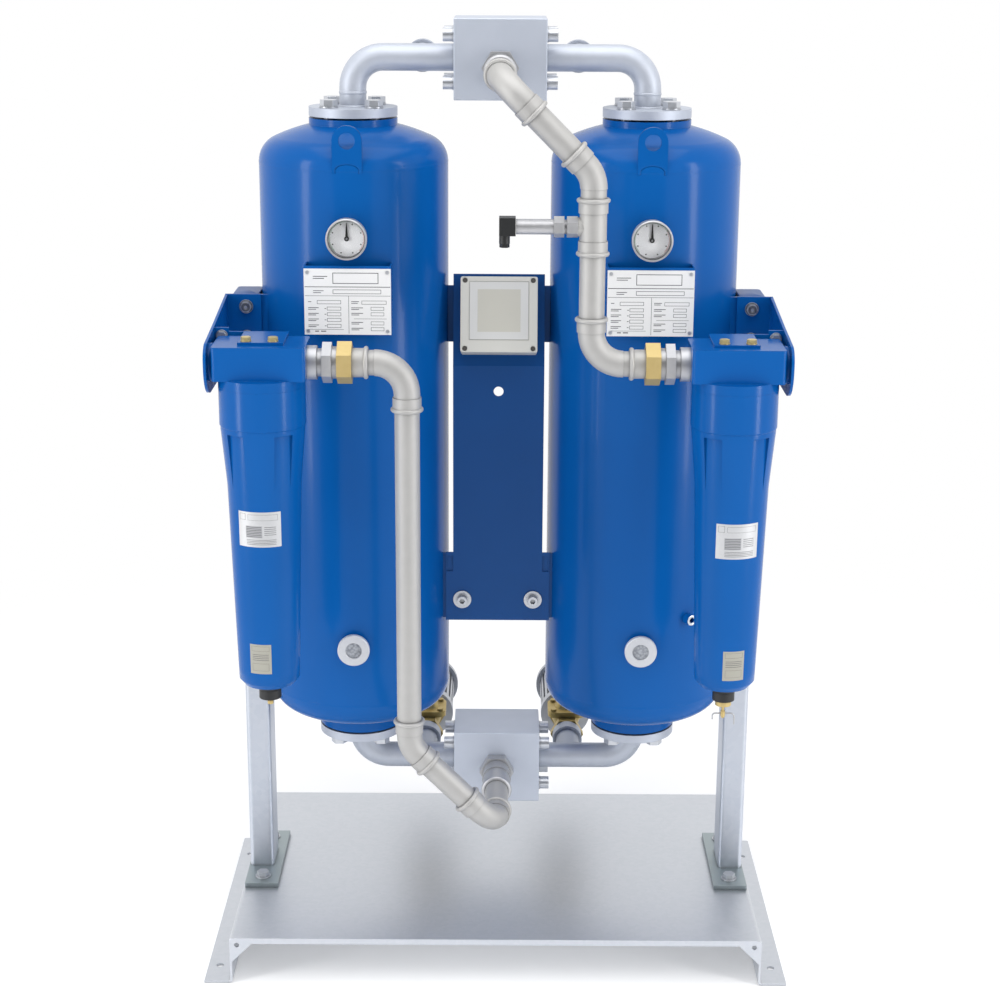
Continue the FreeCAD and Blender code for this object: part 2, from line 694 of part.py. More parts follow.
for tier, (flange_z, up, level) in flange_faces.items():
    for side, s in SIDES.items():
        tag = f"{tier}_{side}"
        tower_x = f"{s} * tower_spacing / 2"
        seat = flange_z if up > 0 else f"{flange_z} + flange_thickness"
        solid = pipe_shape("pipe_" + tag, s, level, "pipe_diameter / 2", up, seat)
        solid.append(rod("flange_" + tag, (tower_x, "tower_y", flange_z), "flange_diameter / 2", "flange_thickness"))
        branch = "branch_length" if tier == "upper" else "exhaust_start"
        solid.append(rod("branch_" + tag, (f"{s} * branch_x", "tower_y", level), "branch_diameter / 2", branch, "y"))
        solid.append(rod("collar_" + tag, (f"{s} * branch_x", f"tower_y + {branch} - 24", level),
                         "branch_collar / 2", "24", "y"))
        hollow = pipe_shape("bore_" + tag, s, level, "pipe_diameter / 2 - pipe_wall", up, seat)
        blind = " - 6" if tier == "upper" else ""
        hollow.append(rod("branch_bore_" + tag, (f"{s} * branch_x", "tower_y", level),
                          "branch_diameter / 2 - pipe_wall", branch + blind, "y"))
        for index, (dx, dy) in enumerate(((1, 1), (1, -1), (-1, -1), (-1, 1))):
            hollow.append(rod(f"bolt_hole_{tag}_{index}", (f"{tower_x} + {dx} * {bolt_offset}",
                              f"tower_y + {dy} * {bolt_offset}", f"{flange_z} - 1"),
                              "flange_bolt / 2 + 1", "flange_thickness + 2"))
        node(f"{tier}_pipe_{side}", cut("pipe_cut_" + tag, fuse("pipe_weld_" + tag, solid), hollow))

# Flange gaskets and their bolts
gaskets, bolts = [], []
for tier, (flange_z, up, level) in flange_faces.items():
    for side, s in SIDES.items():
        tag = f"{tier}_{side}"
        tower_x = f"{s} * tower_spacing / 2"
        gasket_z = "nozzle_top" if up > 0 else "nozzle_bottom - gasket_thickness"
        ring = rod("gasket_" + tag, (tower_x, "tower_y", gasket_z), "gasket_diameter / 2", "gasket_thickness")
        eye = rod("gasket_eye_" + tag, (tower_x, "tower_y", f"{gasket_z} - 1"), "nozzle_bore / 2", "gasket_thickness + 2")
        gaskets.append(cut("gasket_cut_" + tag, ring, [eye]))
        head_z = f"{flange_z} + flange_thickness" if up > 0 else flange_z
        way = "z" if up > 0 else "-z"
        for index, (dx, dy) in enumerate(((1, 1), (1, -1), (-1, -1), (-1, 1))):
            spot_x = f"{tower_x} + {dx} * {bolt_offset}"
            spot_y = f"tower_y + {dy} * {bolt_offset}"
            parts = [
                rod(f"bolt_washer_{tag}_{index}", (spot_x, spot_y, head_z), "flange_bolt_flats / 2 + 2.5", "2.5", way),
                hexagon(f"bolt_head_{tag}_{index}", (spot_x, spot_y, f"{head_z} + {up} * 2.5"),
                        "flange_bolt_flats", "10", way),
                rod(f"bolt_shank_{tag}_{index}", (spot_x, spot_y, f"{head_z} + {up} * 3"), "flange_bolt / 2 - 0.2",
                    "flange_thickness + gasket_thickness + tapped_depth + 2", "-z" if up > 0 else "z"),
            ]
            bolts.append(fuse(f"bolt_{tag}_{index}", parts))
node("flange_bolts", group("flange_bolt_group", bolts))
node("flange_gaskets", group("gasket_group", gaskets))

# Valve blocks with a sliding shuttle that lets air from one tower at a time
blocks = {"upper": ("upper_pipe_z", "upper_port_drop"), "lower": ("lower_pipe_z", "lower_port_drop")}
screws = []
for tier, (level, drop) in blocks.items():
    body = box(tier + "_block_body", ("-block_width / 2", "tower_y - block_depth / 2", f"{level} - block_height / 2"),
               ("block_width", "block_depth", "block_height"))
    softened = doc.addObject("Part::Chamfer", tier + "_block_edges")
    softened.Base = body
    doc.recompute()
    softened.Edges = [(index + 1, number("block_edge"), number("block_edge")) for index in range(12)]
    holes = [rod(tier + "_main_bore", ("-block_width / 2 - 1", "tower_y", level), "shuttle_bore / 2", "block_width + 2", "x")]
    for side, s in SIDES.items():
        holes.append(rod(f"{tier}_pipe_seat_{side}", (f"{s} * (block_width / 2 - pipe_entry)", "tower_y", level),
                         "pipe_diameter / 2", "pipe_entry + 1", "x" if s > 0 else "-x"))
        for row, rise in (("high", 1), ("low", -1)):
            for rank, way in (("front", -1), ("rear", 1)):
                holes.append(rod(f"{tier}_tapped_{side}_{row}_{rank}", (f"{s} * (block_width / 2 - 20)",
                                 f"tower_y + {way} * screw_pitch_y / 2", f"{level} + {rise} * screw_pitch_z / 2"),
                                 "screw_size / 2", "21", "x" if s > 0 else "-x"))
    holes.append(rod(tier + "_front_port", ("0", f"tower_y - block_depth / 2 - 1", f"{level} - {drop}"),
                     "front_port_bore / 2", "block_depth / 2 + 1", "y"))
    node(tier + "_valve_block", cut(tier + "_block_cut", softened, holes))
    for side, s in SIDES.items():
        for row, rise in (("high", 1), ("low", -1)):
            for rank, way in (("front", -1), ("rear", 1)):
                tag = f"{tier}_{side}_{row}_{rank}"
                spot_y = f"tower_y + {way} * screw_pitch_y / 2"
                spot_z = f"{level} + {rise} * screw_pitch_z / 2"
                out = "x" if s > 0 else "-x"
                parts = [
                    rod("screw_washer_" + tag, (f"{s} * block_width / 2", spot_y, spot_z), "screw_head / 2 + 1", "2", out),
                    rod("screw_head_" + tag, (f"{s} * (block_width / 2 + 2)", spot_y, spot_z), "screw_head / 2",
                        "screw_head_height - 2", out),
                    rod("screw_shank_" + tag, (f"{s} * (block_width / 2 - 18)", spot_y, spot_z),
                        "screw_size / 2 - 0.2", "19", out),
                ]
                socket = hexagon("screw_socket_" + tag, (f"{s} * (block_width / 2 + screw_head_height - 7)", spot_y, spot_z),
                                 "screw_size * 0.8", "8", out)
                screws.append(cut("screw_" + tag, fuse("screw_blank_" + tag, parts), [socket]))
    spool = turned(tier + "_spool", [
        ("0", "-shuttle_length / 2"), ("shuttle_bore / 2 - running_clearance", "-shuttle_length / 2"),
        ("shuttle_bore / 2 - running_clearance", "-shuttle_length / 2 + 10"), ("7", "-shuttle_length / 2 + 14"),
        ("7", "shuttle_length / 2 - 14"), ("shuttle_bore / 2 - running_clearance", "shuttle_length / 2 - 10"),
        ("shuttle_bore / 2 - running_clearance", "shuttle_length / 2"), ("0", "shuttle_length / 2"),
    ])
    node(tier + "_shuttle", place(spool, ("0", "tower_y", level), TURNS["x"]))
node("block_screws", group("block_screw_group", screws))

# Press-fitted pipework: elbows, tubes, tee and the adapters screwed into the valve blocks
RUN = "(tower_y - front_run)"
RIGHT, LEFT, UP, DOWN, BACK = (1, 0, 0), (-1, 0, 0), (0, 0, 1), (0, 0, -1), (0, 1, 0)
half_root = math.sqrt(0.5)
DOWN_IN, UP_OUT = (half_root, 0, -half_root), (-half_root, 0, half_root)


def along(point, *steps):
    """A point moved by distances along directions, kept as expressions."""
    moved = []
    for index, start in enumerate(point):
        terms = [str(start)]
        for distance, direction in steps:
            if abs(direction[index]) > 1e-6:
                terms.append(f"({direction[index]:.9f}) * ({distance})")
        moved.append(" + ".join(terms))
    return tuple(moved)


def facing(direction):
    """The rotation that lays local Z along a direction."""
    return FreeCAD.Rotation(Z_AXIS, FreeCAD.Vector(*direction))


def bead(name, centre, direction, ring_diameter, width):
    """The rolled bead at the mouth of a press fitting."""
    thing = doc.addObject("Part::Torus", name)
    bind(thing, "Radius1", f"({ring_diameter}) / 2 - ({width}) / 2")
    bind(thing, "Radius2", f"({width}) / 2")
    return place(thing, centre, facing(direction))


def mouth(name, corner, direction, start, reach):
    """One socket end of a fitting: the solid parts, and the bores that are cut from it."""
    way = facing(direction)
    solid = [
        rod(name + "_neck", along(corner, (start, direction)), "fitting_diameter / 2", f"{reach} - ({start})", way),
        rod(name + "_sleeve", along(corner, (f"{reach} - socket_depth", direction)), "socket_diameter / 2",
            "socket_depth - 1", way),
        bead(name + "_bead", along(corner, (f"{reach} - bead_width / 2", direction)), direction,
             "bead_diameter", "bead_width"),
    ]
    bores = [
        rod(name + "_bore", along(corner, (start, direction)), "tube_diameter / 2 - tube_wall", f"{reach} - ({start})", way),
        rod(name + "_socket", along(corner, (f"{reach} - socket_depth", direction)), "tube_diameter / 2 + seat_clearance",
            "socket_depth + 1", way),
    ]
    return solid, bores


def press_elbow(name, corner, first, second, first_reach, second_reach, angle, plain=False):
    """An elbow between two directions. A plain first end slides into the next fitting."""
    across = [b - a * sum(i * j for i, j in zip(first, second)) for a, b in zip(first, second)]
    span = math.sqrt(sum(value ** 2 for value in across))
    inward = tuple(value / span for value in across)
    outward = tuple(-value for value in inward)
    travel = tuple(-value for value in first)
    tangent = f"press_bend * tan({angle} / 2)"
    centre = along(corner, (tangent, first), ("press_bend", inward))
    solid = [bend(name + "_bend", centre, outward, travel, "press_bend", "fitting_diameter / 2", angle)]
    hollow = [bend(name + "_way", centre, outward, travel, "press_bend", "tube_diameter / 2 - tube_wall", angle)]
    if plain:
        start = along(corner, (tangent, first))
        solid.append(rod(name + "_tail", start, "tube_diameter / 2", f"{first_reach} - {tangent}", facing(first)))
        hollow.append(rod(name + "_tail_bore", start, "tube_diameter / 2 - tube_wall",
                          f"{first_reach} - {tangent}", facing(first)))
    else:
        extra, bores = mouth(name + "_a", corner, first, tangent, first_reach)
        solid += extra
        hollow += bores
    extra, bores = mouth(name + "_b", corner, second, tangent, second_reach)
    return cut(name, fuse(name + "_solid", solid + extra), hollow + bores)


def tube(name, start, direction, length):
    """A plain cut of press tube between two socket shoulders."""
    outside = rod(name + "_outside", start, "tube_diameter / 2", length, facing(direction))
    inside = rod(name + "_inside", start, "tube_diameter / 2 - tube_wall", length, facing(direction))
    return cut(name, outside, [inside])


low_port = "(lower_pipe_z - lower_port_drop)"
high_port = "(upper_pipe_z - upper_port_drop)"
block_face = "(tower_y - block_depth / 2)"
union_end = "(filter_x - head_width / 2 - union_length)"
entry_length = f"({block_face} - adapter_length + socket_depth - ({RUN} + entry_mouth - socket_depth))"
slant = "(riser_x * sqrt(2))"
down_corner = ("-riser_x", RUN, "filter_port_z")
down_knee = ("-riser_x", RUN, f"{low_port} + riser_x")
down_end = ("0", RUN, low_port)
node("downpipe_elbows", group("downpipe_elbow_group", [
    press_elbow("down_top", down_corner, LEFT, DOWN, f"{union_end} - riser_x + socket_depth", "long_mouth", 90, True),
    press_elbow("down_knee", down_knee, UP, DOWN_IN, "short_mouth", "short_mouth", 45),
    press_elbow("down_foot", down_end, UP_OUT, BACK, "slant_mouth", "entry_mouth", 90),
]))
press_tubes = [
    tube("down_straight", along(down_corner, ("long_mouth - socket_depth", DOWN)), DOWN,
         f"filter_port_z - {low_port} - riser_x - long_mouth - short_mouth + 2 * socket_depth"),
    tube("down_slant", along(down_knee, ("short_mouth - socket_depth", DOWN_IN)), DOWN_IN,
         f"{slant} - short_mouth - slant_mouth + 2 * socket_depth"),
    tube("down_entry", along(down_end, ("entry_mouth - socket_depth", BACK)), BACK, entry_length),
]
rise_corner = ("riser_x", RUN, "filter_port_z")
rise_knee = ("riser_x", RUN, f"{high_port} - riser_x")
rise_end = ("0", RUN, high_port)
tee_low = "(tee_z - tee_height / 2)"
tee_high = "(tee_z + tee_height / 2)"
node("riser_elbows", group("riser_elbow_group", [
    press_elbow("rise_foot", rise_corner, RIGHT, UP, f"{union_end} - riser_x + socket_depth", "rise_mouth", 90, True),
    press_elbow("rise_knee", rise_knee, DOWN, UP_OUT, f"{high_port} - riser_x - {tee_high} + socket_depth",
                "short_mouth", 45, True),
    press_elbow("rise_top", rise_end, DOWN_IN, BACK, "slant_mouth + 5", "entry_mouth", 90),
]))
press_tubes += [
    tube("rise_straight", along(rise_corner, ("rise_mouth - socket_depth", UP)), UP,
         f"{tee_low} - filter_port_z - rise_mouth + 2 * socket_depth"),
    tube("rise_slant", along(rise_knee, ("short_mouth - socket_depth", UP_OUT)), UP_OUT,
         f"{slant} - short_mouth - slant_mouth - 5 + 2 * socket_depth"),
    tube("rise_entry", along(rise_end, ("entry_mouth - socket_depth", BACK)), BACK, entry_length),
]
node("press_tubes", group("press_tube_group", press_tubes))
tee_centre = ("riser_x", RUN, "tee_z")
top_solid, top_bores = mouth("tee_top", tee_centre, UP, "0", "tee_height / 2")
low_solid, low_bores = mouth("tee_low", tee_centre, DOWN, "0", "tee_height / 2")
tee_branch = rod("tee_branch", tee_centre, "tee_branch_diameter / 2", "riser_x - stub_end", "-x")
tee_thread = rod("tee_thread", tee_centre, "sensor_thread / 2 + seat_clearance", "riser_x - stub_end + 1", "-x")
node("riser_tee", cut("riser_tee_cut", fuse("riser_tee_solid", top_solid + low_solid + [tee_branch]),
                      top_bores + low_bores + [tee_thread]))
adapters = []
for tier, port in (("lower", low_port), ("upper", high_port)):
    name = "adapter_" + tier
    face = ("0", block_face, port)
    parts = [
        hexagon(name + "_hex", face, "adapter_flats", "18", "-y"),
        rod(name + "_spigot", along(face, ("12", BACK)), "front_port_bore / 2 - seat_clearance", "14", "-y"),
        rod(name + "_sleeve", face, "22.5", "adapter_length - 2", "-y"),
        rod(name + "_ring", along(face, ("-43", BACK)), "24", "4", "-y"),
        bead(name + "_bead", along(face, ("5 - adapter_length", BACK)), BACK, "bead_diameter + 1", "10"),
    ]
    holes = [
        rod(name + "_way", along(face, ("13", BACK)), "13", "adapter_length + 14", "-y"),
        rod(name + "_socket", along(face, ("socket_depth - adapter_length", BACK)),
            "tube_diameter / 2 + seat_clearance", "socket_depth + 1", "-y"),
    ]
    adapters.append(cut(name, fuse(name + "_solid", parts), holes))
node("port_adapters", group("adapter_group", adapters))

# Unions between the filter heads and the pipework: body, nut and tail
union_bodies, union_nuts, union_tails = [], [], []
for side, s in SIDES.items():
    name = "union_" + side
    face = (f"{s} * (filter_x - head_width / 2)", RUN, "filter_port_z")
    inward = "-x" if s > 0 else "x"
    step = (-s, 0, 0)
    body = fuse(name + "_solid", [
        rod(name + "_spigot", along(face, ("-14", step)), "head_port / 2 - seat_clearance", "16", inward),
        rod(name + "_ring", face, "25.5", "14.5", inward),
        rod(name + "_thread", face, "21", "40", inward),
        hexagon(name + "_hex", along(face, ("22.5", step)), "union_flats", "14", inward),
        rod(name + "_collar", along(face, ("36", step)), "24", "12", inward),
    ])
    union_bodies.append(cut(name + "_body", body, [rod(name + "_way", along(face, ("-15", step)), "14", "70", inward)]))
    nut = hexagon(name + "_nut_blank", along(face, ("44.5", step)), "union_nut_flats", "22", inward)
    union_nuts.append(cut(name + "_nut", nut, [
        rod(name + "_nut_wide", along(face, ("43.5", step)), "24 + seat_clearance", "12.5", inward),
        rod(name + "_nut_way", along(face, ("43.5", step)), "socket_diameter / 2 + seat_clearance", "24", inward),
    ]))
    tail = fuse(name + "_tail_solid", [
        rod(name + "_tail_collar", along(face, ("48", step)), "24", "8", inward),
        rod(name + "_tail_sleeve", along(face, ("48", step)), "socket_diameter / 2", "union_length - 49", inward),
        bead(name + "_tail_bead", along(face, ("union_length - bead_width / 2", step)), step, "bead_diameter", "bead_width"),
    ])
    union_tails.append(cut(name + "_tail", tail, [
        rod(name + "_tail_way", along(face, ("47", step)), "14", "union_length", inward),
        rod(name + "_tail_socket", along(face, ("union_length - socket_depth", step)),
            "tube_diameter / 2 + seat_clearance", "socket_depth + 1", inward),
    ]))
node("union_bodies", group("union_body_group", union_bodies))
node("union_nuts", group("union_nut_group", union_nuts))
node("union_tails", group("union_tail_group", union_tails))

# Dew point sensor on the tee
sensor_start = ("stub_end", RUN, "tee_z")
node("sensor_body", fuse("sensor_body_solid", [
    rod("sensor_spigot", along(sensor_start, ("10", RIGHT)), "sensor_thread / 2", "12", "-x"),
    hexagon("sensor_hex", sensor_start, "sensor_flats", "16", "-x"),
    rod("sensor_neck", along(sensor_start, ("15", LEFT)), "sensor_flats / 2 - 3", "6", "-x"),
    hexagon("sensor_second_hex", along(sensor_start, ("20", LEFT)), "sensor_flats", "15", "-x"),
    rod("sensor_barrel", along(sensor_start, ("30", LEFT)), "sensor_diameter / 2", "stub_end - 54.3", "-x"),
]))
plug_end = "(sensor_plug_end - sensor_plug_length)"
node("sensor_plug", fuse("sensor_plug_solid", [
    box("plug_block", (plug_end, f"{RUN} - 13", "tee_z - 12.5"), ("sensor_plug_length", "26", "26.5")),
    rod("plug_leg", (f"{plug_end} + 8", RUN, "tee_z - 25"), "7.9", "14"),
    hexagon("plug_gland", (f"{plug_end} + 8", RUN, "tee_z - 30.5"), "13", "7"),
]))

# Filters: machined head, ribbed bowl that screws up under it, and an element inside
FRONT = (0, -1, 0)
head_spigot = "(head_bottom - 14)"
filter_heads, elements = {}, []
for side, s in SIDES.items():
    centre_x = f"{s} * filter_x"
    corners, arcs = rounded("head_width", "head_depth", "head_corner")
    block = plate("head_block_" + side, "XY_Plane", corners, "head_top - head_bottom", arcs)
    place(block, (centre_x, RUN, "head_bottom"))
    parts = [
        block,
        rod("head_lip_" + side, (centre_x, RUN, head_spigot), "collar_diameter / 2", "head_bottom + 1 - " + head_spigot),
        rod("head_spigot_" + side, (centre_x, RUN, head_spigot + " - 20"), "bowl_mouth / 2 - seat_clearance", "22"),
    ]
    out = "x" if s > 0 else "-x"
    back_in = "-x" if s > 0 else "x"
    outer_face = (f"{s} * (filter_x + head_width / 2)", RUN, "filter_port_z")
    inner_face = (f"{s} * (filter_x - head_width / 2)", RUN, "filter_port_z")
    holes = [
        rod("head_outer_port_" + side, along(outer_face, ("1", (s, 0, 0))), "head_port / 2", "43", back_in),
        rod("head_inner_port_" + side, along(inner_face, ("-1", (s, 0, 0))), "head_port / 2", "72", out),
        rod("head_down_" + side, (f"{s} * (filter_x + 39)", RUN, head_spigot + " - 21"), "8", "50"),
        rod("head_centre_" + side, (centre_x, RUN, head_spigot + " - 21"), "11", "50"),
    ]
    for index, offset in enumerate(("tab_bolt_offset", "-tab_bolt_offset")):
        holes.append(rod(f"head_tapped_{side}_{index}", (f"{s} * (filter_x + {offset})", "tab_bolt_y", "head_top - 14"),
                         "tab_bolt_size / 2", "15"))
    node("filter_head_" + side, cut("head_cut_" + side, fuse("head_solid_" + side, parts), holes))
    mouth_r = "bowl_mouth / 2"
    bowl = turned("bowl_blank_" + side, [
        (mouth_r, head_spigot), ("collar_diameter / 2", head_spigot), ("collar_diameter / 2", "collar_bottom"),
        ("rib_diameter / 2", "collar_bottom - 1.5"), ("rib_diameter / 2", "rib_top"), ("bowl_waist / 2", "rib_bottom"),
        ("bowl_foot / 2", "bowl_foot_z"), ("bowl_foot / 2 - 8", "bowl_bottom"), ("4.2", "bowl_bottom"),
        ("4.2", "bowl_bottom + bowl_wall + 4"), ("bowl_foot / 2 - 8", "bowl_bottom + bowl_wall + 4"),
        ("bowl_foot / 2 - bowl_wall", "bowl_foot_z + 6"), ("bowl_waist / 2 - bowl_wall", "rib_bottom"),
        ("shoulder_diameter / 2 - bowl_wall", "rib_top"), (mouth_r, "collar_bottom"),
    ])
    place(bowl, (centre_x, RUN, "0"))
    pockets = doc.addObject("PartDesign::Body", "pockets_" + side)
    sketch = outline(pockets, "pocket_section_" + side, "XZ_Plane", [
        ("shoulder_diameter / 2", "rib_top - 2"), ("rib_diameter / 2 + 6", "rib_top - 2"),
        ("rib_diameter / 2 + 6", "rib_bottom"), ("bowl_waist / 2", "rib_bottom"),
    ])
    wedge = pockets.newObject("PartDesign::Revolution", "pocket_wedge_" + side)
    wedge.Profile = sketch
    wedge.ReferenceAxis = (sketch, ["V_Axis"])
    bind(wedge, "Angle", "pocket_angle")
    wedge.Midplane = True
    doc.recompute()
    ring = pockets.newObject("PartDesign::PolarPattern", "pocket_ring_" + side)
    ring.Originals = [wedge]
    ring.Axis = (sketch, ["V_Axis"])
    ring.Angle = 360
    ring.Occurrences = 5
    pockets.Tip = ring
    place(pockets, (centre_x, RUN, "0"), FreeCAD.Rotation(Z_AXIS, 18))
    node("filter_bowl_" + side, cut("bowl_cut_" + side, bowl, [pockets]))
    element = turned("element_" + side, [
        ("12", "element_bottom"), ("element_diameter / 2 + 3", "element_bottom"),
        ("element_diameter / 2 + 3", "element_bottom + 10"), ("element_diameter / 2", "element_bottom + 10"),
        ("element_diameter / 2", head_spigot + " - 30"), ("element_diameter / 2 + 3", head_spigot + " - 30"),
        ("element_diameter / 2 + 3", head_spigot + " - 20"), ("12", head_spigot + " - 20"),
    ])
    elements.append(place(element, (centre_x, RUN, "0")))
node("filter_elements", group("element_group", elements))

# Drains under the bowls
drain_nuts = []
for side, s in SIDES.items():
    nut = rod("drain_nut_blank_" + side, (f"{s} * filter_x", RUN, "bowl_bottom - drain_nut_height"),
              "drain_nut_diameter / 2", "drain_nut_height")
    eye = rod("drain_nut_eye_" + side, (f"{s} * filter_x", RUN, "bowl_bottom - 20"), "4.3", "30")
    drain_nuts.append(cut("drain_nut_" + side, nut, [eye]))
node("drain_nuts", group("drain_nut_group", drain_nuts))
nut_face = "bowl_bottom - drain_nut_height"
nipple = fuse("nipple_solid", [
    rod("nipple_stem", ("-filter_x", RUN, f"{nut_face} - 11"), "4", "24"),
    rod("nipple_barb", ("-filter_x", RUN, f"{nut_face} - 11"), "4.7", "5"),
    hexagon("nipple_hex", ("-filter_x", RUN, f"{nut_face} - 4"), "12", "4"),
])
node("drain_nipple", cut("nipple_cut", nipple, [rod("nipple_way", ("-filter_x", RUN, "bowl_bottom - 40"), "2.2", "60")]))
lever_z = f"({nut_face} - 24)"
stem = fuse("drain_stem_solid", [
    rod("drain_flange", ("filter_x", RUN, f"{nut_face} - 9"), "12.5", "9"),
    rod("drain_pin", ("filter_x", RUN, f"{nut_face} - 31"), "2.3", "40"),
    rod("drain_knob", ("filter_x", RUN, f"{lever_z} - 4.5"), "3.6", "9"),
])
lever_hole = rod("lever_hole", ("filter_x - 10", RUN, lever_z), "lever_wire / 2 + running_clearance", "20", "x")
node("drain_stem", cut("drain_stem_cut", stem, [lever_hole]))
lever_end = ("filter_x + 12", RUN, lever_z)
node("drain_lever", fuse("lever_solid", [
    rod("lever_shank", ("filter_x - 12", RUN, lever_z), "lever_wire / 2", "24", "x"),
    bend("lever_bend", along(lever_end, ("6", DOWN)), UP, RIGHT, "6", "lever_wire / 2"),
    rod("lever_tip", along(lever_end, ("6", RIGHT), ("6", DOWN)), "lever_wire / 2", "12", "-z"),
    bend("lever_back_bend", ("filter_x - 12", RUN, f"{lever_z} - 4"), UP, LEFT, "4", "lever_wire / 2"),
    rod("lever_back_tip", ("filter_x - 16", RUN, f"{lever_z} - 4"), "lever_wire / 2", "6", "-z"),
]))

# Filter brackets: a side wing with a plate bolted to the ear, a plate behind the head and a top tab
rear_face = f"({RUN} + head_depth / 2 + rear_gap)"
wing_corners = [
    (ear_front, "filter_port_z - bracket_round"),
    (RUN, "filter_port_z - bracket_round"),
    (f"{RUN} - bracket_round", "filter_port_z"),
    (f"{RUN} - bracket_round", "filter_port_z + 8"),
    (f"{RUN} - bracket_round + 20", "filter_port_z + 33"),
    (f"{RUN} - bracket_round + 115", "filter_port_z + 44"),
    (ear_front, "wing_top"),
]


def cross_sheet(side, name, near, far, y, depth, z, height):
    """A sheet between two distances from the centre plane, on one side of the dryer."""
    low = near if side == "right" else f"-({far})"
    return box(f"{name}_{side}", (low, y, z), (f"{far} - ({near})", depth, height))


for side, s in SIDES.items():
    wing = plate("wing_" + side, "YZ_Plane", wing_corners, "bracket_sheet", {1: "-bracket_round", 3: "-26"})
    place(wing, (f"{s} * (bracket_reach - bracket_sheet / 2) - bracket_sheet / 2", "0", "0"))

    parts = [
        wing,
        cross_sheet(side, "ear_plate", "ear_plate_in", "bracket_reach - 1", bracket_front, "bracket_sheet",
                    "filter_port_z - bracket_round", "wing_top - filter_port_z + bracket_round"),
        cross_sheet(side, "rear_plate", "filter_x - 36", "bracket_reach - 1", rear_face, "bracket_sheet",
                    "head_bottom + 1", "head_top + bracket_sheet - head_bottom - 1"),
        cross_sheet(side, "bolt_flap", "bracket_reach - 26", "bracket_reach - 1", rear_face, "bracket_sheet",
                    "head_top", "10"),
        cross_sheet(side, "top_tab", "filter_x - 36", "filter_x + 32", "tab_front", f"{rear_face} - tab_front + 1",
                    "head_top", "bracket_sheet"),
    ]
    holes = [
        rod("wing_eye_" + side, (f"{s} * (bracket_reach + 5)", RUN, "filter_port_z"), "wing_hole / 2", "20",
            "-x" if s > 0 else "x"),
        rod("flap_hole_" + side, (f"{s} * flap_bolt_x", f"{rear_face} - 1", "flap_bolt_z"),
            "4.3", "bracket_sheet + 2", "y"),
    ]
    for way in (-1, 1):
        holes.append(rod(f"ear_plate_hole_{side}_{way + 1}", (f"{s} * {ear_bolt_x}", f"{bracket_front} - 1",
                         f"upper_ear_z + ear_bolt_rise + {way} * ear_bolt_pitch / 2"),
                         "ear_bolt_size / 2 + seat_clearance", "bracket_sheet + 2", "y"))
        holes.append(rod(f"tab_hole_{side}_{way + 1}", (f"{s} * (filter_x + {way} * tab_bolt_offset)", "tab_bolt_y",
                         "head_top - 1"), "tab_bolt_size / 2 + seat_clearance", "bracket_sheet + 2"))
    node("filter_bracket_" + side, cut("bracket_cut_" + side, fuse("bracket_solid_" + side, parts), holes))

# Bolts: ears to posts, brackets to heads, foot plates to base, panel to crossbar


def hex_bolt(name, seat, direction, diameter, flats, washer, length):
    """A washered hex bolt. The seat is the face under its washer, the direction points outwards."""
    way = tuple(-value for value in direction)
    return fuse(name, [
        rod(name + "_washer", seat, f"{washer} / 2", "2", facing(direction)),
        hexagon(name + "_head", along(seat, ("2", direction)), flats, f"{diameter} * 0.64", facing(direction)),
        rod(name + "_shank", along(seat, ("3", direction)), f"{diameter} / 2 - 0.2", f"{length} + 3", facing(way)),
    ])


ear_set, tab_set, foot_set, flap_set = [], [], [], []
for side, s in SIDES.items():
    for name, height in ear_bolts:
        seat_y = bracket_front if name == "upper" else ear_front
        for way in (-1, 1):
            seat = (f"{s} * {ear_bolt_x}", seat_y, f"{height} + ear_bolt_rise + {way} * ear_bolt_pitch / 2")
            ear_set.append(hex_bolt(f"ear_bolt_{side}_{name}_{way + 1}", seat, FRONT, "ear_bolt_size",
                                    "ear_bolt_flats", "ear_washer", "22"))
    for way in (-1, 1):
        seat = (f"{s} * (filter_x + {way} * tab_bolt_offset)", "tab_bolt_y", "head_top + bracket_sheet")
        tab_set.append(hex_bolt(f"tab_bolt_{side}_{way + 1}", seat, UP, "tab_bolt_size", "tab_bolt_flats",
                                "tab_bolt_flats + 1", "14"))
        seat = (f"{s} * (post_spacing / 2 - foot_plate_offset)", f"post_y + {way} * foot_screw_pitch / 2", plate_top)
        foot_set.append(hex_bolt(f"foot_bolt_{side}_{way + 1}", seat, UP, "foot_screw_size", "foot_screw_size * 1.5",
                                 "foot_washer", "24"))
    flap_set.append(hex_bolt("flap_bolt_" + side, (f"{s} * flap_bolt_x", rear_face, "flap_bolt_z"), FRONT,
                             "8", "13", "18", "9"))
node("frame_bolts", group("frame_bolt_group", ear_set + flap_set + foot_set))
node("head_bolts", group("head_bolt_group", tab_set))

# Centre panel: folded sheet, upright below and tilted back above
panel_back = "(panel_y + panel_sheet)"
TILT = FreeCAD.Rotation(X_AXIS, -number("panel_tilt"))


def tilted(across, back, up):
    """A point given in the leaning frame of the upper panel."""
    return (across, f"panel_y + ({back}) * cos(panel_tilt) + ({up}) * sin(panel_tilt)",
            f"panel_fold_z - ({back}) * sin(panel_tilt) + ({up}) * cos(panel_tilt)")


def leaning_box(name, across, back, up, extent):
    return box(name, tilted(across, back, up), extent, TILT)


def leaning_rod(name, across, back, up, radius, length):
    """A round bar that points out of the tilted panel."""
    return rod(name, tilted(across, back, up), radius, length, TILT.multiply(TURNS["-y"]))


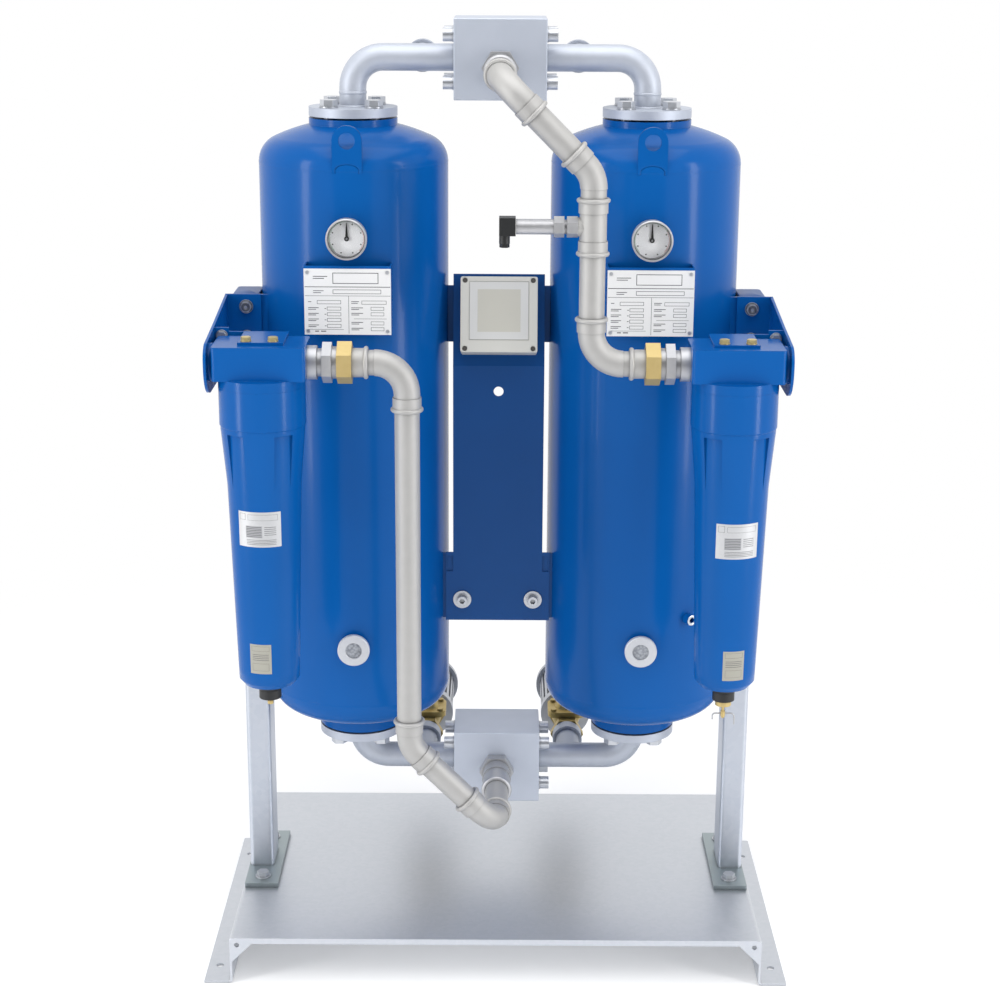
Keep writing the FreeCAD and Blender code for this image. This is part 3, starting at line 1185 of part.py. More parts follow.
sheet_parts = [
    box("panel_upright", ("-panel_width / 2", "panel_y", "panel_bottom"),
        ("panel_width", "panel_sheet", "panel_fold_z - panel_bottom")),
    box("panel_foot", ("-panel_foot_width / 2", "panel_y", "panel_bottom"),
        ("panel_foot_width", "panel_sheet", "panel_foot_top - panel_bottom")),
    leaning_box("panel_lean", "-panel_width / 2", "0", "0", ("panel_width", "panel_sheet", "panel_upper")),
]
for side, s in SIDES.items():
    cheek = plate("cheek_" + side, "YZ_Plane", [
        ("panel_y + (cheek_low - panel_fold_z) * tan(panel_tilt) + 1", "cheek_low"),
        ("crossbar_y", "cheek_low"), ("crossbar_y", "cheek_high"),
        ("panel_y + (cheek_high - panel_fold_z) * tan(panel_tilt) + 1", "cheek_high"),
    ], "panel_sheet")
    place(cheek, (f"{s} * (panel_width / 2 - panel_sheet / 2) - panel_sheet / 2", "0", "0"))
    sheet_parts.append(cheek)
panel_holes = [rod("panel_eye", ("0", "panel_y - 1", "panel_hole_z"), "panel_hole / 2", "panel_sheet + 2", "y")]
for side, s in SIDES.items():
    panel_holes.append(rod("panel_bolt_hole_" + side, (f"{s} * panel_bolt_x", "panel_y - 1", "panel_bolt_z"),
                           "panel_bolt_size / 2 + seat_clearance", "panel_sheet + 2", "y"))
    panel_holes.append(box("panel_notch_" + side, (f"{s} * (panel_width / 2 + 5.5) - 5", "panel_y - 1", "notch_bottom"),
                           ("10", "panel_sheet + 2", "27")))
    for end, rise in (("low", "case_low + case_height / 2 - case_screw"), ("high", "case_low + case_height / 2 + case_screw")):
        panel_holes.append(leaning_rod(f"case_hole_{side}_{end}", f"{s} * case_screw", "panel_sheet + 1", rise,
                                       "2.3", "panel_sheet + 2"))
node("centre_panel", cut("panel_cut", fuse("panel_solid", sheet_parts), panel_holes))
crossbars = []
for name, front, low, high in (("lower", panel_back, "panel_bottom + 4", "panel_foot_top - 2"),
                               ("upper", "crossbar_y", "cheek_low", "cheek_high")):
    bar = box(f"crossbar_{name}_blank", ("-tower_spacing / 4", front, low), ("tower_spacing / 2", "crossbar_sheet",
              f"{high} - ({low})"))
    tools = [rod(f"crossbar_{name}_{side}", (f"{s} * tower_spacing / 2", "tower_y", "bottom_tangent"),
                 "tower_diameter / 2", "top_tangent - bottom_tangent") for side, s in SIDES.items()]
    if name == "lower":
        tools += [rod("crossbar_hole_" + side, (f"{s} * panel_bolt_x", f"{front} - 1", "panel_bolt_z"),
                      "panel_bolt_size / 2", "crossbar_sheet + 2", "y") for side, s in SIDES.items()]
    crossbars.append(cut("crossbar_" + name, bar, tools))
node("panel_crossbars", group("crossbar_group", crossbars))
panel_set = []
for side, s in SIDES.items():
    name = "panel_screw_" + side
    seat = (f"{s} * panel_bolt_x", "panel_y", "panel_bolt_z")
    screw = fuse(name + "_blank", [
        rod(name + "_washer", seat, "panel_washer / 2", "2.5", "-y"),
        rod(name + "_head", along(seat, ("2", FRONT)), "panel_bolt_size * 0.8", "panel_bolt_size + 0.5", "-y"),
        rod(name + "_shank", along(seat, ("1", FRONT)), "panel_bolt_size / 2 - 0.2", "12", "y"),
    ])
    socket = hexagon(name + "_socket", along(seat, ("8", FRONT)), "8", "6", "-y")
    panel_set.append(cut(name, screw, [socket]))
node("panel_bolts", group("panel_bolt_group", panel_set))

# Controller on the tilted panel
case_blank = leaning_box("case_blank", "-case_width / 2", "-case_depth", "case_low", ("case_width", "case_depth", "case_height"))
case_soft = doc.addObject("Part::Fillet", "case_edges")
case_soft.Base = case_blank
doc.recompute()
case_soft.Edges = [
    (index + 1, 3.5, 3.5) for index, edge in enumerate(case_blank.Shape.Edges)
    if abs(edge.Length - number("case_depth")) < 1e-3]
case_tools = [leaning_box("case_window", "-screen_width / 2", "-case_depth - 1", "case_low + case_height / 2 - screen_height / 2 + 6",
                          ("screen_width", "3", "screen_height"))]
case_tools.append(leaning_box("case_inside", "-case_width / 2 + 4", "-case_depth + 8", "case_low + 4",
                              ("case_width - 8", "case_depth - 11", "case_height - 8")))
case_set = []
for side, s in SIDES.items():
    for end, rise in (("low", "case_low + case_height / 2 - case_screw"), ("high", "case_low + case_height / 2 + case_screw")):
        case_tools.append(leaning_rod(f"case_well_{side}_{end}", f"{s} * case_screw", "3 - case_depth", rise, "4.2", "6"))
        case_tools.append(leaning_rod(f"case_bore_{side}_{end}", f"{s} * case_screw", "1", rise, "2.3", "case_depth + 2"))
        head = leaning_rod(f"case_screw_head_{side}_{end}", f"{s} * case_screw", "3 - case_depth", rise, "3.7", "2.4")
        shank = leaning_rod(f"case_screw_shank_{side}_{end}", f"{s} * case_screw", "panel_sheet + 2", rise, "2",
                            "case_depth + 2")
        case_set.append(fuse(f"case_screw_{side}_{end}", [head, shank]))
node("controller_case", cut("case_cut", case_soft, case_tools))
node("controller_panel", leaning_box("controller_front", "-screen_width / 2 + seat_clearance", "2 - case_depth - 2.4",
     "case_low + case_height / 2 - screen_height / 2 + 6 + seat_clearance",
     ("screen_width - 2 * seat_clearance", "2.4", "screen_height - 2 * seat_clearance")))
node("controller_screws", group("controller_screw_group", case_set))

# Gauges, sight glasses and nameplates on the tower fronts
case_rings, dials, lenses, glass_rings, glasses, plates, rivets = [], [], [], [], [], [], []
gauge_r = "gauge_diameter / 2"
for side, s in SIDES.items():
    tower_x = f"{s} * tower_spacing / 2"
    gauge_base = (tower_x, f"{gauge_face} + gauge_depth", "gauge_z")
    case = turned("gauge_blank_" + side, [
        ("0", "0"), (f"{gauge_r} - 3", "0"), (f"{gauge_r} - 1", "3"), (f"{gauge_r} - 1", "gauge_depth - 8"),
        (gauge_r, "gauge_depth - 7"), (gauge_r, "gauge_depth - 1.5"), (f"{gauge_r} - 1.5", "gauge_depth"),
        (f"{gauge_r} - 3", "gauge_depth"), (f"{gauge_r} - 3", "gauge_depth - 4"), (f"{gauge_r} - 4", "gauge_depth - 4"),
        (f"{gauge_r} - 4", "gauge_depth - 14"), ("spindle / 2", "gauge_depth - 14"), ("spindle / 2", "gauge_depth - 9"),
        ("0", "gauge_depth - 9"),
    ])
    place(case, gauge_base, TURNS["-y"])
    stem = fuse("gauge_stem_" + side, [
        hexagon("gauge_stem_hex_" + side, along(gauge_base, ("0.1", FRONT)), "17",
                f"{tower_front} - 4 - ({gauge_face} + gauge_depth) + 0.1", "y"),
    ] + [rod("gauge_stem_rod_" + side, gauge_base, "8", f"{tower_front} - 4 - ({gauge_face} + gauge_depth)", "y")])
    case_rings.append(fuse("gauge_case_" + side, [case, stem]))
    dial = rod("gauge_dial_blank_" + side, along(gauge_base, ("gauge_depth - 14", FRONT)), f"{gauge_r} - 4.3", "1", "-y")
    dials.append(cut("gauge_dial_" + side, dial, [rod("gauge_dial_eye_" + side, gauge_base, "spindle / 2 + 0.3",
                                                      "gauge_depth", "-y")]))
    lenses.append(rod("gauge_lens_" + side, along(gauge_base, ("gauge_depth - 4", FRONT)), f"{gauge_r} - 3.3", "2", "-y"))
    hub_base = along(gauge_base, ("gauge_depth - 12.5", FRONT))
    needle = plate("needle_" + side, "XZ_Plane", [
        ("-2.2", "0"), ("2.2", "0"), ("0.6", "needle_length"), ("-0.6", "needle_length"),
    ], "1")
    place(needle, along(gauge_base, ("gauge_depth - 11.5", FRONT)))
    hub = rod("needle_hub_" + side, hub_base, "3.8", "2", "-y")
    hub_eye = rod("needle_eye_" + side, gauge_base, "spindle / 2 + running_clearance", "gauge_depth", "-y")
    node("gauge_pointer_" + side, cut("pointer_" + side, fuse("pointer_solid_" + side, [needle, hub]), [hub_eye]))
    sight_base = (tower_x, f"{sight_face} + 8", "sight_z")
    ring = turned("sight_ring_" + side, [
        ("sight_glass / 2 + 2", "0"), ("sight_diameter / 2", "0"), ("sight_diameter / 2", "6.5"),
        ("sight_diameter / 2 - 1.5", "8"), ("sight_glass / 2 + 1", "8"), ("sight_glass / 2", "7"),
        ("sight_glass / 2", "5"), ("sight_glass / 2 + 2", "5"),
    ])
    glass_rings.append(place(ring, sight_base, TURNS["-y"]))
    glasses.append(rod("sight_disc_" + side, sight_base, "sight_glass / 2 + 2 - seat_clearance", "5", "-y"))
    label_blank = box("nameplate_blank_" + side, (f"{tower_x} - nameplate_width / 2", nameplate_face,
                      "nameplate_z - nameplate_height / 2"), ("nameplate_width", str(nameplate_sheet), "nameplate_height"))
    label_holes = []
    for index, (dx, dz) in enumerate(((1, 1), (1, -1), (-1, -1), (-1, 1))):
        spot = (f"{tower_x} + {dx} * rivet_pitch_x / 2", nameplate_face, f"nameplate_z + {dz} * rivet_pitch_z / 2")
        label_holes.append(rod(f"label_hole_{side}_{index}", along(spot, ("1", FRONT)), "rivet_size / 2 + seat_clearance",
                               "4", "y"))
        rivets.append(fuse(f"rivet_{side}_{index}", [
            rod(f"rivet_head_{side}_{index}", spot, "rivet_size * 0.9", "1", "-y"),
            rod(f"rivet_shank_{side}_{index}", along(spot, ("0.5", FRONT)), "rivet_size / 2", "5", "y"),
        ]))
    plates.append(cut("nameplate_" + side, label_blank, label_holes))
node("gauge_cases", group("gauge_case_group", case_rings))
node("gauge_dials", group("gauge_dial_group", dials))
node("gauge_lenses", group("gauge_lens_group", lenses))
node("sight_glass_rings", group("sight_ring_group", glass_rings))
node("sight_glasses", group("sight_glass_group", glasses))
node("nameplates", group("nameplate_group", plates))
node("nameplate_rivets", group("rivet_group", rivets))

# Desiccant beds between two perforated screens
screens, beds = [], []
for side, s in SIDES.items():
    tower_x = f"{s} * tower_spacing / 2"
    for end, level in (("low", "bottom_tangent + ledge_height"), ("high", "bed_top")):
        blank = rod(f"screen_blank_{side}_{end}", (tower_x, "tower_y", level), "tower_diameter / 2 - tower_wall - 0.5",
                    "screen_thickness")
        holes = []
        for ring, (count, share) in enumerate(((6, 0.38), (12, 0.8))):
            for index in range(count):
                angle = 360 / count * index
                reach = f"{share} * tower_diameter / 2 - 12"
                holes.append(rod(f"screen_hole_{side}_{end}_{ring}_{index}",
                                 (f"{tower_x} + ({reach}) * cos({angle})", f"tower_y + ({reach}) * sin({angle})",
                                  f"{level} - 1"), "screen_hole / 2", "screen_thickness + 2"))
        tool = group(f"screen_holes_{side}_{end}", holes)
        screens.append(cut(f"screen_{side}_{end}", blank, [tool]))
    bed = rod("bed_" + side, (tower_x, "tower_y", "bottom_tangent + ledge_height + screen_thickness"),
              "tower_diameter / 2 - tower_wall - 0.5", "bed_top - bottom_tangent - ledge_height - screen_thickness")
    beds.append(bed)
node("bed_screens", group("screen_group", screens))
node("desiccant_beds", group("bed_group", beds))

# Exhaust valves behind the lower pipes, each with a silencer
valve_bodies, valve_caps, silencers = [], [], []
for side, s in SIDES.items():
    name = "exhaust_" + side
    start = (f"{s} * branch_x", "tower_y + exhaust_start", "lower_pipe_z")
    middle = along(start, ("valve_length / 2", BACK))
    corners, arcs = rounded("valve_diameter", "valve_diameter", "bonnet_corner")
    bonnet = plate(name + "_bonnet", "XY_Plane", corners, "bonnet_height", arcs)
    place(bonnet, along(middle, ("bonnet_rise", UP)))
    body = fuse(name + "_solid", [
        hexagon(name + "_inlet", start, "branch_collar - 1", "valve_hex_length", "y"),
        rod(name + "_barrel", along(start, ("valve_hex_length - 1", BACK)), "valve_barrel / 2",
            "valve_length - 2 * valve_hex_length + 2", "y"),
        hexagon(name + "_outlet", along(start, ("valve_length - valve_hex_length", BACK)), "branch_collar - 1",
                "valve_hex_length", "y"),
        taper(name + "_bowl", along(middle, ("6", DOWN)), "valve_barrel / 2 - 2", "valve_diameter / 2 - 3",
              "bonnet_rise + 7"),
        bonnet,
        taper(name + "_dome", along(middle, ("bonnet_rise + bonnet_height", UP)), "dome_diameter / 2", "dome_diameter / 3",
              "dome_height"),
    ] + [rod(f"{name}_screw_{dx + 1}_{dy + 1}",
             along(middle, (f"{dx} * bonnet_bolt", RIGHT), (f"{dy} * bonnet_bolt", BACK), ("bonnet_rise + bonnet_height", UP)),
             "bonnet_screw / 2", "bonnet_screw * 0.4") for dx in (-1, 1) for dy in (-1, 1)])
    valve_bodies.append(cut(name + "_body", body, [rod(name + "_way", along(start, ("-1", BACK)), "17",
                                                       "valve_length + 2", "y")]))
    cap = rod(name + "_cap", along(start, ("valve_length", BACK)), "cap_diameter / 2", "cap_length", "y")
    valve_caps.append(cut(name + "_cap_cut", cap, [rod(name + "_cap_way", along(start, ("valve_length - 1", BACK)), "17",
                                                       "cap_length + 2", "y")]))
    fins = doc.addObject("PartDesign::Body", name + "_fins")
    fin_sketch = outline(fins, name + "_fin_section", "XY_Plane", [
        ("silencer_diameter / 2 - 6", "-2"), ("silencer_diameter / 2 + 2", "-3"), ("silencer_diameter / 2 + 2", "3"),
        ("silencer_diameter / 2 - 6", "2"),
    ])
    fin_pad = fins.newObject("PartDesign::Pad", name + "_fin_pad")
    fin_pad.Profile = fin_sketch
    bind(fin_pad, "Length", "silencer_length")
    doc.recompute()
    fin_ring = fins.newObject("PartDesign::PolarPattern", name + "_fin_ring")
    fin_ring.Originals = [fin_pad]
    fin_ring.Axis = (origin_plane(fins, "Z_Axis"), [""])
    fin_ring.Angle = 360
    fin_ring.Occurrences = 24
    fins.Tip = fin_ring
    face = along(start, ("valve_length + cap_length", BACK))
    place(fins, face, TURNS["y"])
    drum = rod(name + "_drum", face, "silencer_diameter / 2", "silencer_length - end_ring_length", "y")
    silencers.append(cut(name + "_silencer", drum, [fins, rod(name + "_hollow", along(face, ("-1", BACK)), "26",
                                                             "silencer_length + 2", "y")]))
    ring = rod(name + "_end_ring", along(face, ("silencer_length - end_ring_length", BACK)), "end_ring_diameter / 2",
               "end_ring_length", "y")
    silencers.append(cut(name + "_end_cut", ring, [rod(name + "_end_eye", along(face, ("silencer_length - 8", BACK)),
                                                       "end_ring_diameter / 2 - 7", "12", "y")]))
node("exhaust_valves", group("exhaust_group", valve_bodies))
node("exhaust_caps", group("exhaust_cap_group", valve_caps))
node("silencers", group("silencer_group", silencers))

# Every piece has to be sound before it is written
doc.recompute()
faults = [item.Name for item in doc.Objects if "Invalid" in item.State or "Error" in item.State]
for item in nodes:
    if item.Shape.isNull() or not item.Shape.isValid():
        faults.append(item.Label)
if faults:
    raise RuntimeError("faulty objects: " + ", ".join(faults))
os.makedirs("parts", exist_ok=True)
for item in nodes:
    item.Shape.exportStep(f"parts/{item.Label}.step")
    print(f"{item.Label}: {len(item.Shape.Solids)} solids, {item.Shape.Volume / 1000:.1f} cm3")
print(len(nodes), "nodes")
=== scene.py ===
import bpy
import bmesh
import math
from mathutils import Matrix, Vector


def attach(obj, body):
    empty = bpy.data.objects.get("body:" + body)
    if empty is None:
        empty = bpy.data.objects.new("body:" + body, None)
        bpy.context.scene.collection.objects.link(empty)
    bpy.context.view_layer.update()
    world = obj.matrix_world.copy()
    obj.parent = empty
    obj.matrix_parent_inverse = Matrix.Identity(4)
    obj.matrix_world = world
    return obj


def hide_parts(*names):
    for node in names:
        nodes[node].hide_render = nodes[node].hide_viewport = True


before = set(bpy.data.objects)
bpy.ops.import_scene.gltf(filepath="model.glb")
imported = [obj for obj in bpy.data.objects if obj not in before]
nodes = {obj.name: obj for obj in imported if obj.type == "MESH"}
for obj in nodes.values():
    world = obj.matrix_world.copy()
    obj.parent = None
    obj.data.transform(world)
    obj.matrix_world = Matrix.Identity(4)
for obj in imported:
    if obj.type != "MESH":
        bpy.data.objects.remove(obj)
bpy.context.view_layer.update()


# Studio: a white floor under soft boxes, seen by a portrait lens from a little above.
# The floor is matt white card that keeps a faint contact shadow. One soft box hangs overhead, two upright
# ones give the towers their long bands, and dark cards round the lens draw the edges of bright metal.
def linear(code):
    """An sRGB hex colour as linear red, green, blue and alpha."""
    parts = [int(code[at:at + 2], 16) / 255 for at in (1, 3, 5)]
    return tuple(p / 12.92 if p <= 0.04045 else ((p + 0.055) / 1.055) ** 2.4 for p in parts) + (1.0,)


def add(tree, kind, settings=None, inputs=None):
    """Adds one shader node with its settings. An input takes a value, or the output that feeds it."""
    node = tree.nodes.new("ShaderNode" + kind)
    for name, value in (settings or {}).items():
        setattr(node, name, value)
    for name, value in (inputs or {}).items():
        if isinstance(value, bpy.types.NodeSocket):
            tree.links.new(value, node.inputs[name])
        else:
            node.inputs[name].default_value = value
    return node


def surface(name):
    """A new material, empty, and its node tree."""
    material = bpy.data.materials.new(name)
    material.use_nodes = True
    material.node_tree.nodes.clear()
    return material, material.node_tree


def shape_object(name, shape, material, smooth=True):
    """Turns finished mesh work into an object with one material."""
    data = bpy.data.meshes.new(name)
    bmesh.ops.recalc_face_normals(shape, faces=shape.faces)
    for face in shape.faces:
        face.smooth = smooth
    shape.to_mesh(data)
    shape.free()
    data.materials.append(material)
    thing = bpy.data.objects.new(name, data)
    bpy.context.scene.collection.objects.link(thing)
    return thing


def seen_rays(tree):
    """1 for rays from the lens, off a gloss or through glass, and 0 for those that only bring light."""
    rays = add(tree, "LightPath")
    seen = add(tree, "Math", {"operation": "MAXIMUM"},
               {0: rays.outputs["Is Camera Ray"], 1: rays.outputs["Is Glossy Ray"]})
    seen = add(tree, "Math", {"operation": "MAXIMUM"},
               {0: seen.outputs[0], 1: rays.outputs["Is Transmission Ray"]})
    return seen.outputs[0]


floor_card, tree = surface("white_floor_card")
ground = add(tree, "TexCoord").outputs["Object"]
distance = add(tree, "VectorMath", {"operation": "LENGTH"}, {0: ground})
# The card fades to plain white between 0.9 and 2.2 m from the middle of the base
fade = add(tree, "MapRange", {"interpolation_type": "SMOOTHSTEP"},
           {"Value": distance.outputs["Value"], "From Min": 0.9, "From Max": 2.2})
matt = add(tree, "BsdfDiffuse", inputs={"Color": linear("#F4F4F4")})
glow = add(tree, "Emission", inputs={"Color": (1, 1, 1, 1), "Strength": 0.22})
lit = add(tree, "AddShader", inputs={0: matt.outputs[0], 1: glow.outputs[0]})
white = add(tree, "Emission", inputs={"Color": (1, 1, 1, 1), "Strength": 1.0})
edge = add(tree, "Math", {"operation": "MULTIPLY"}, {0: seen_rays(tree), 1: fade.outputs[0]})
mixed = add(tree, "MixShader", inputs={0: edge.outputs[0], 1: lit.outputs[0], 2: white.outputs[0]})
add(tree, "OutputMaterial", inputs={"Surface": mixed.outputs[0]})
shape = bmesh.new()
bmesh.ops.create_grid(shape, x_segments=8, y_segments=8, size=7.0)
floor = shape_object("studio_floor", shape, floor_card, smooth=False)
# Just under the feet, so that no face lies in the plane of another
floor.location.z = -0.0004

world = bpy.data.worlds.new("studio_air")
bpy.context.scene.world = world
world.use_nodes = True
tree = world.node_tree
tree.nodes.clear()
seen = seen_rays(tree)
open_air = add(tree, "Background", inputs={"Color": (1, 1, 1, 1), "Strength": 1.0})
fill = add(tree, "Background", inputs={"Color": linear("#FBFCFF"), "Strength": 0.66})
mixed = add(tree, "MixShader", inputs={0: seen, 1: fill.outputs[0], 2: open_air.outputs[0]})
add(tree, "OutputWorld", inputs={"Surface": mixed.outputs[0]})


def soft_box(name, place, target, width, height, watts):
    """One flat lamp that faces a point."""
    data = bpy.data.lights.new(name, "AREA")
    data.shape = "RECTANGLE"
    data.size = width
    data.size_y = height
    data.energy = watts
    lamp = bpy.data.objects.new(name, data)
    lamp.location = place
    lamp.rotation_euler = (Vector(target) - Vector(place)).to_track_quat("-Z", "Y").to_euler()
    bpy.context.scene.collection.objects.link(lamp)


soft_box("overhead_box", place=(0.0, -0.6, 3.4), target=(0.0, 0.0, 0.6), width=3.0, height=2.4, watts=42)
for name, x in (("left_strip", -2.6), ("right_strip", 2.6)):
    soft_box(name, place=(x, -1.6, 1.3), target=(0.0, 0.0, 0.8), width=0.5, height=2.6, watts=40)

black_card, tree = surface("black_card")
dark = add(tree, "BsdfDiffuse", inputs={"Color": linear("#0A0A0B")})
add(tree, "OutputMaterial", inputs={"Surface": dark.outputs[0]})
for name, place, width, height in (("card_behind_lens", (0.0, -5.0, 2.2), 4.6, 4.6),
                                   ("card_left", (-4.6, -3.2, 1.9), 2.2, 4.0),
                                   ("card_right", (4.6, -3.2, 1.9), 2.2, 4.0)):
    shape = bmesh.new()
    bmesh.ops.create_grid(shape, x_segments=2, y_segments=2, size=0.5)
    card = shape_object(name, shape, black_card, smooth=False)
    card.scale = (width, height, 1)
    card.location = place
    card.rotation_euler = (Vector((0, 0, 0.8)) - Vector(place)).to_track_quat("Z", "Y").to_euler()
    card.visible_camera = False
    card.visible_diffuse = False
    card.visible_shadow = False

lens = bpy.data.cameras.new("photo_view")
lens.lens = 72.09
lens.sensor_width = 36.0
lens.clip_end = 60.0
camera = bpy.data.objects.new("photo_view", lens)
pan, tilt, roll = (math.radians(degrees) for degrees in (-0.04, 74.12, 0.33))
turn = Matrix.Rotation(pan, 3, "Z") @ Matrix.Rotation(tilt, 3, "X") @ Matrix.Rotation(roll, 3, "Z")
camera.rotation_euler = turn.to_euler()
camera.location = (0.00106, -3.1615, 1.6417)
bpy.context.scene.collection.objects.link(camera)
bpy.context.scene.camera = camera
bpy.context.scene.view_settings.view_transform = "Standard"


# Towers: two welded steel vessels with domed ends, nozzles, ears, a plate carrier and lugs.
# They are rolled and pressed from steel plate, arc welded, then sprayed with gentian blue enamel.
# The enamel is smooth and glossy, with a faint orange peel, and lies softly over every edge.
def finish(material, *names):
    """Gives CAD nodes their finish."""
    for name in names:
        for slot in nodes[name].material_slots:
            slot.material = material


# Sockets of a colour Mix node: its factor, its two colours, and the colour that comes out
FACTOR, FIRST, SECOND, MIXED = 0, 6, 7, 2

blue_enamel, tree = surface("gentian_blue_enamel")
place = add(tree, "TexCoord").outputs["Object"]
clouds = add(tree, "TexNoise", inputs={"Vector": place, "Scale": 6.0, "Detail": 2.0})
tone = add(tree, "Mix", {"data_type": "RGBA"},
           {FACTOR: clouds.outputs["Fac"], FIRST: linear("#04529A"), SECOND: linear("#0759A4")})
gloss = add(tree, "MapRange", inputs={"Value": clouds.outputs["Fac"], "To Min": 0.2, "To Max": 0.28})
# Orange peel waves are 2 to 3 mm apart, about 20 microns high
peel = add(tree, "TexNoise", inputs={"Vector": place, "Scale": 380.0, "Detail": 1.0})
soft = add(tree, "Bevel", {"samples": 4}, {"Radius": 0.0012})
bump = add(tree, "Bump", inputs={
    "Height": peel.outputs["Fac"], "Distance": 0.00003, "Strength": 0.6, "Normal": soft.outputs["Normal"]})
paint = add(tree, "BsdfPrincipled", inputs={
    "Base Color": tone.outputs[MIXED], "Roughness": gloss.outputs[0], "Normal": bump.outputs["Normal"],
    "IOR": 1.45, "Specular IOR Level": 0.16, "Coat Weight": 0.06, "Coat Roughness": 0.08})
add(tree, "OutputMaterial", inputs={"Surface": paint.outputs[0]})
finish(blue_enamel, "tower_left", "tower_right", "lifting_lugs")


def weld(name, line, width, rise, material):
    """A closed weld bead along points with outward directions: a low half round with laid over crescents."""
    strips = 6
    lap = 0.0011
    sunk = 0.0003
    shape = bmesh.new()
    rings = []
    for index, (point, out) in enumerate(line):
        along = (line[(index + 1) % len(line)][0] - line[index - 1][0]).normalized()
        side = along.cross(out).normalized()
        # Each crescent spans three points and rises to its full height at the last
        crest = rise * (0.84 + 0.16 * (index % 3) / 2)
        ring = []
        for step in range(strips + 1):
            angle = math.pi * (step / strips - 0.5)
            lag = lap * math.cos(angle) ** 2
            ring.append(shape.verts.new(point + side * (width / 2 * math.sin(angle)) + along * lag
                                        + out * (crest * math.cos(angle) - sunk)))
        rings.append(ring)
    for index, first in enumerate(rings):
        second = rings[(index + 1) % len(rings)]
        for step in range(strips):
            shape.faces.new((first[step], first[step + 1], second[step + 1], second[step]))
    thing = shape_object(name, shape, material)
    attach(thing, "stand")


def ring_line(centre, radius, tilt, pitch=0.0011):
    """Points round a level circle. The outward direction tilts up by an angle in degrees."""
    count = int(2 * math.pi * radius / pitch / 3) * 3
    up = math.sin(math.radians(tilt))
    out = math.cos(math.radians(tilt))
    angles = [2 * math.pi * index / count for index in range(count)]
    return [(centre + Vector((math.cos(a), math.sin(a), 0)) * radius,
             Vector((math.cos(a) * out, math.sin(a) * out, up))) for a in angles]


tower_axes = (("left", -0.232, 0.046), ("right", 0.232, 0.046))
shell_radius = 0.150
pad_radius = 0.0712
bead_width = 0.006
ground_rise = 0.0004
fillet_rise = 0.0022
for side, x, y in tower_axes:
    # Seams between shell and domes, ground low before painting
    for name, height in (("top_seam_", 1.289), ("bottom_seam_", 0.417)):
        weld(name + side, ring_line(Vector((x, y, height)), shell_radius, 0),
             bead_width, ground_rise, blue_enamel)
    # Fillet under each nozzle pad, where its wall meets the dome
    for name, height, tilt in (("top_nozzle_weld_", 1.3393, 45), ("bottom_nozzle_weld_", 0.3667, -45)):
        weld(name + side, ring_line(Vector((x, y, height)), pad_radius, tilt),
             bead_width, fillet_rise, blue_enamel)


# Painted parts in front of the towers and between them: filter heads, bowls, brackets, centre panel.
# Cast heads, deep drawn bowls and folded sheet brackets are painted the same blue. The panel behind
# the controller and its crossbars stand in the shade of the towers, which is painted into their darker copy
# of the blue, and they are a little more matt.
panel_enamel, tree = surface("gentian_blue_enamel_painted_shade")
place = add(tree, "TexCoord").outputs["Object"]
clouds = add(tree, "TexNoise", inputs={"Vector": place, "Scale": 9.0, "Detail": 2.0})
# Painted shade: the tower blue made darker for the shaded panel and crossbars
tone = add(tree, "Mix", {"data_type": "RGBA"},
           {FACTOR: clouds.outputs["Fac"], FIRST: linear("#0A4785"), SECOND: linear("#0C4C8D")})
# The grain of the sprayed paint, about 1 mm
grain = add(tree, "TexNoise", inputs={"Vector": place, "Scale": 900.0, "Detail": 2.0})
soft = add(tree, "Bevel", {"samples": 4}, {"Radius": 0.0008})
bump = add(tree, "Bump", inputs={
    "Height": grain.outputs["Fac"], "Distance": 0.00003, "Strength": 0.7, "Normal": soft.outputs["Normal"]})
paint = add(tree, "BsdfPrincipled", inputs={
    "Base Color": tone.outputs[MIXED], "Roughness": 0.34, "Normal": bump.outputs["Normal"], "IOR": 1.45,
    "Specular IOR Level": 0.28})
add(tree, "OutputMaterial", inputs={"Surface": paint.outputs[0]})
finish(blue_enamel, "filter_head_left", "filter_head_right", "filter_bowl_left", "filter_bowl_right",
       "filter_bracket_left", "filter_bracket_right")
finish(panel_enamel, "centre_panel", "panel_crossbars")


def node_copy(name):
    """A copy of a node's mesh to rework, with the corners of its facets joined."""
    shape = bmesh.new()
    shape.from_mesh(nodes[name].data)
    bmesh.ops.remove_doubles(shape, verts=shape.verts, dist=1e-6)
    return shape


def crease(shape, degrees):
    """Keeps the edges sharp that turn by more than this, and shades across the others."""
    for seam in shape.edges:
        seam.smooth = len(seam.link_faces) == 2 and seam.calc_face_angle(0) < math.radians(degrees)


def lathe(name, centre, axis, section, material, steps=72):
    """A ring turned about an axis from a closed section. Its corners are (radius, distance along) in mm."""
    shape = bmesh.new()
    axis = Vector(axis)
    side = axis.orthogonal().normalized()
    other = axis.cross(side)
    rings = []
    for index in range(steps):
        angle = 2 * math.pi * index / steps
        out = side * math.cos(angle) + other * math.sin(angle)
        rings.append([shape.verts.new(Vector(centre) + (out * radius + axis * along) / 1000)
                      for radius, along in section])
    for index, first in enumerate(rings):
        second = rings[(index + 1) % steps]
        for corner in range(len(section)):
            after = (corner + 1) % len(section)
            shape.faces.new((first[corner], first[after], second[after], second[corner]))
    crease(shape, 40)
    thing = shape_object(name, shape, material)
    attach(thing, "stand")


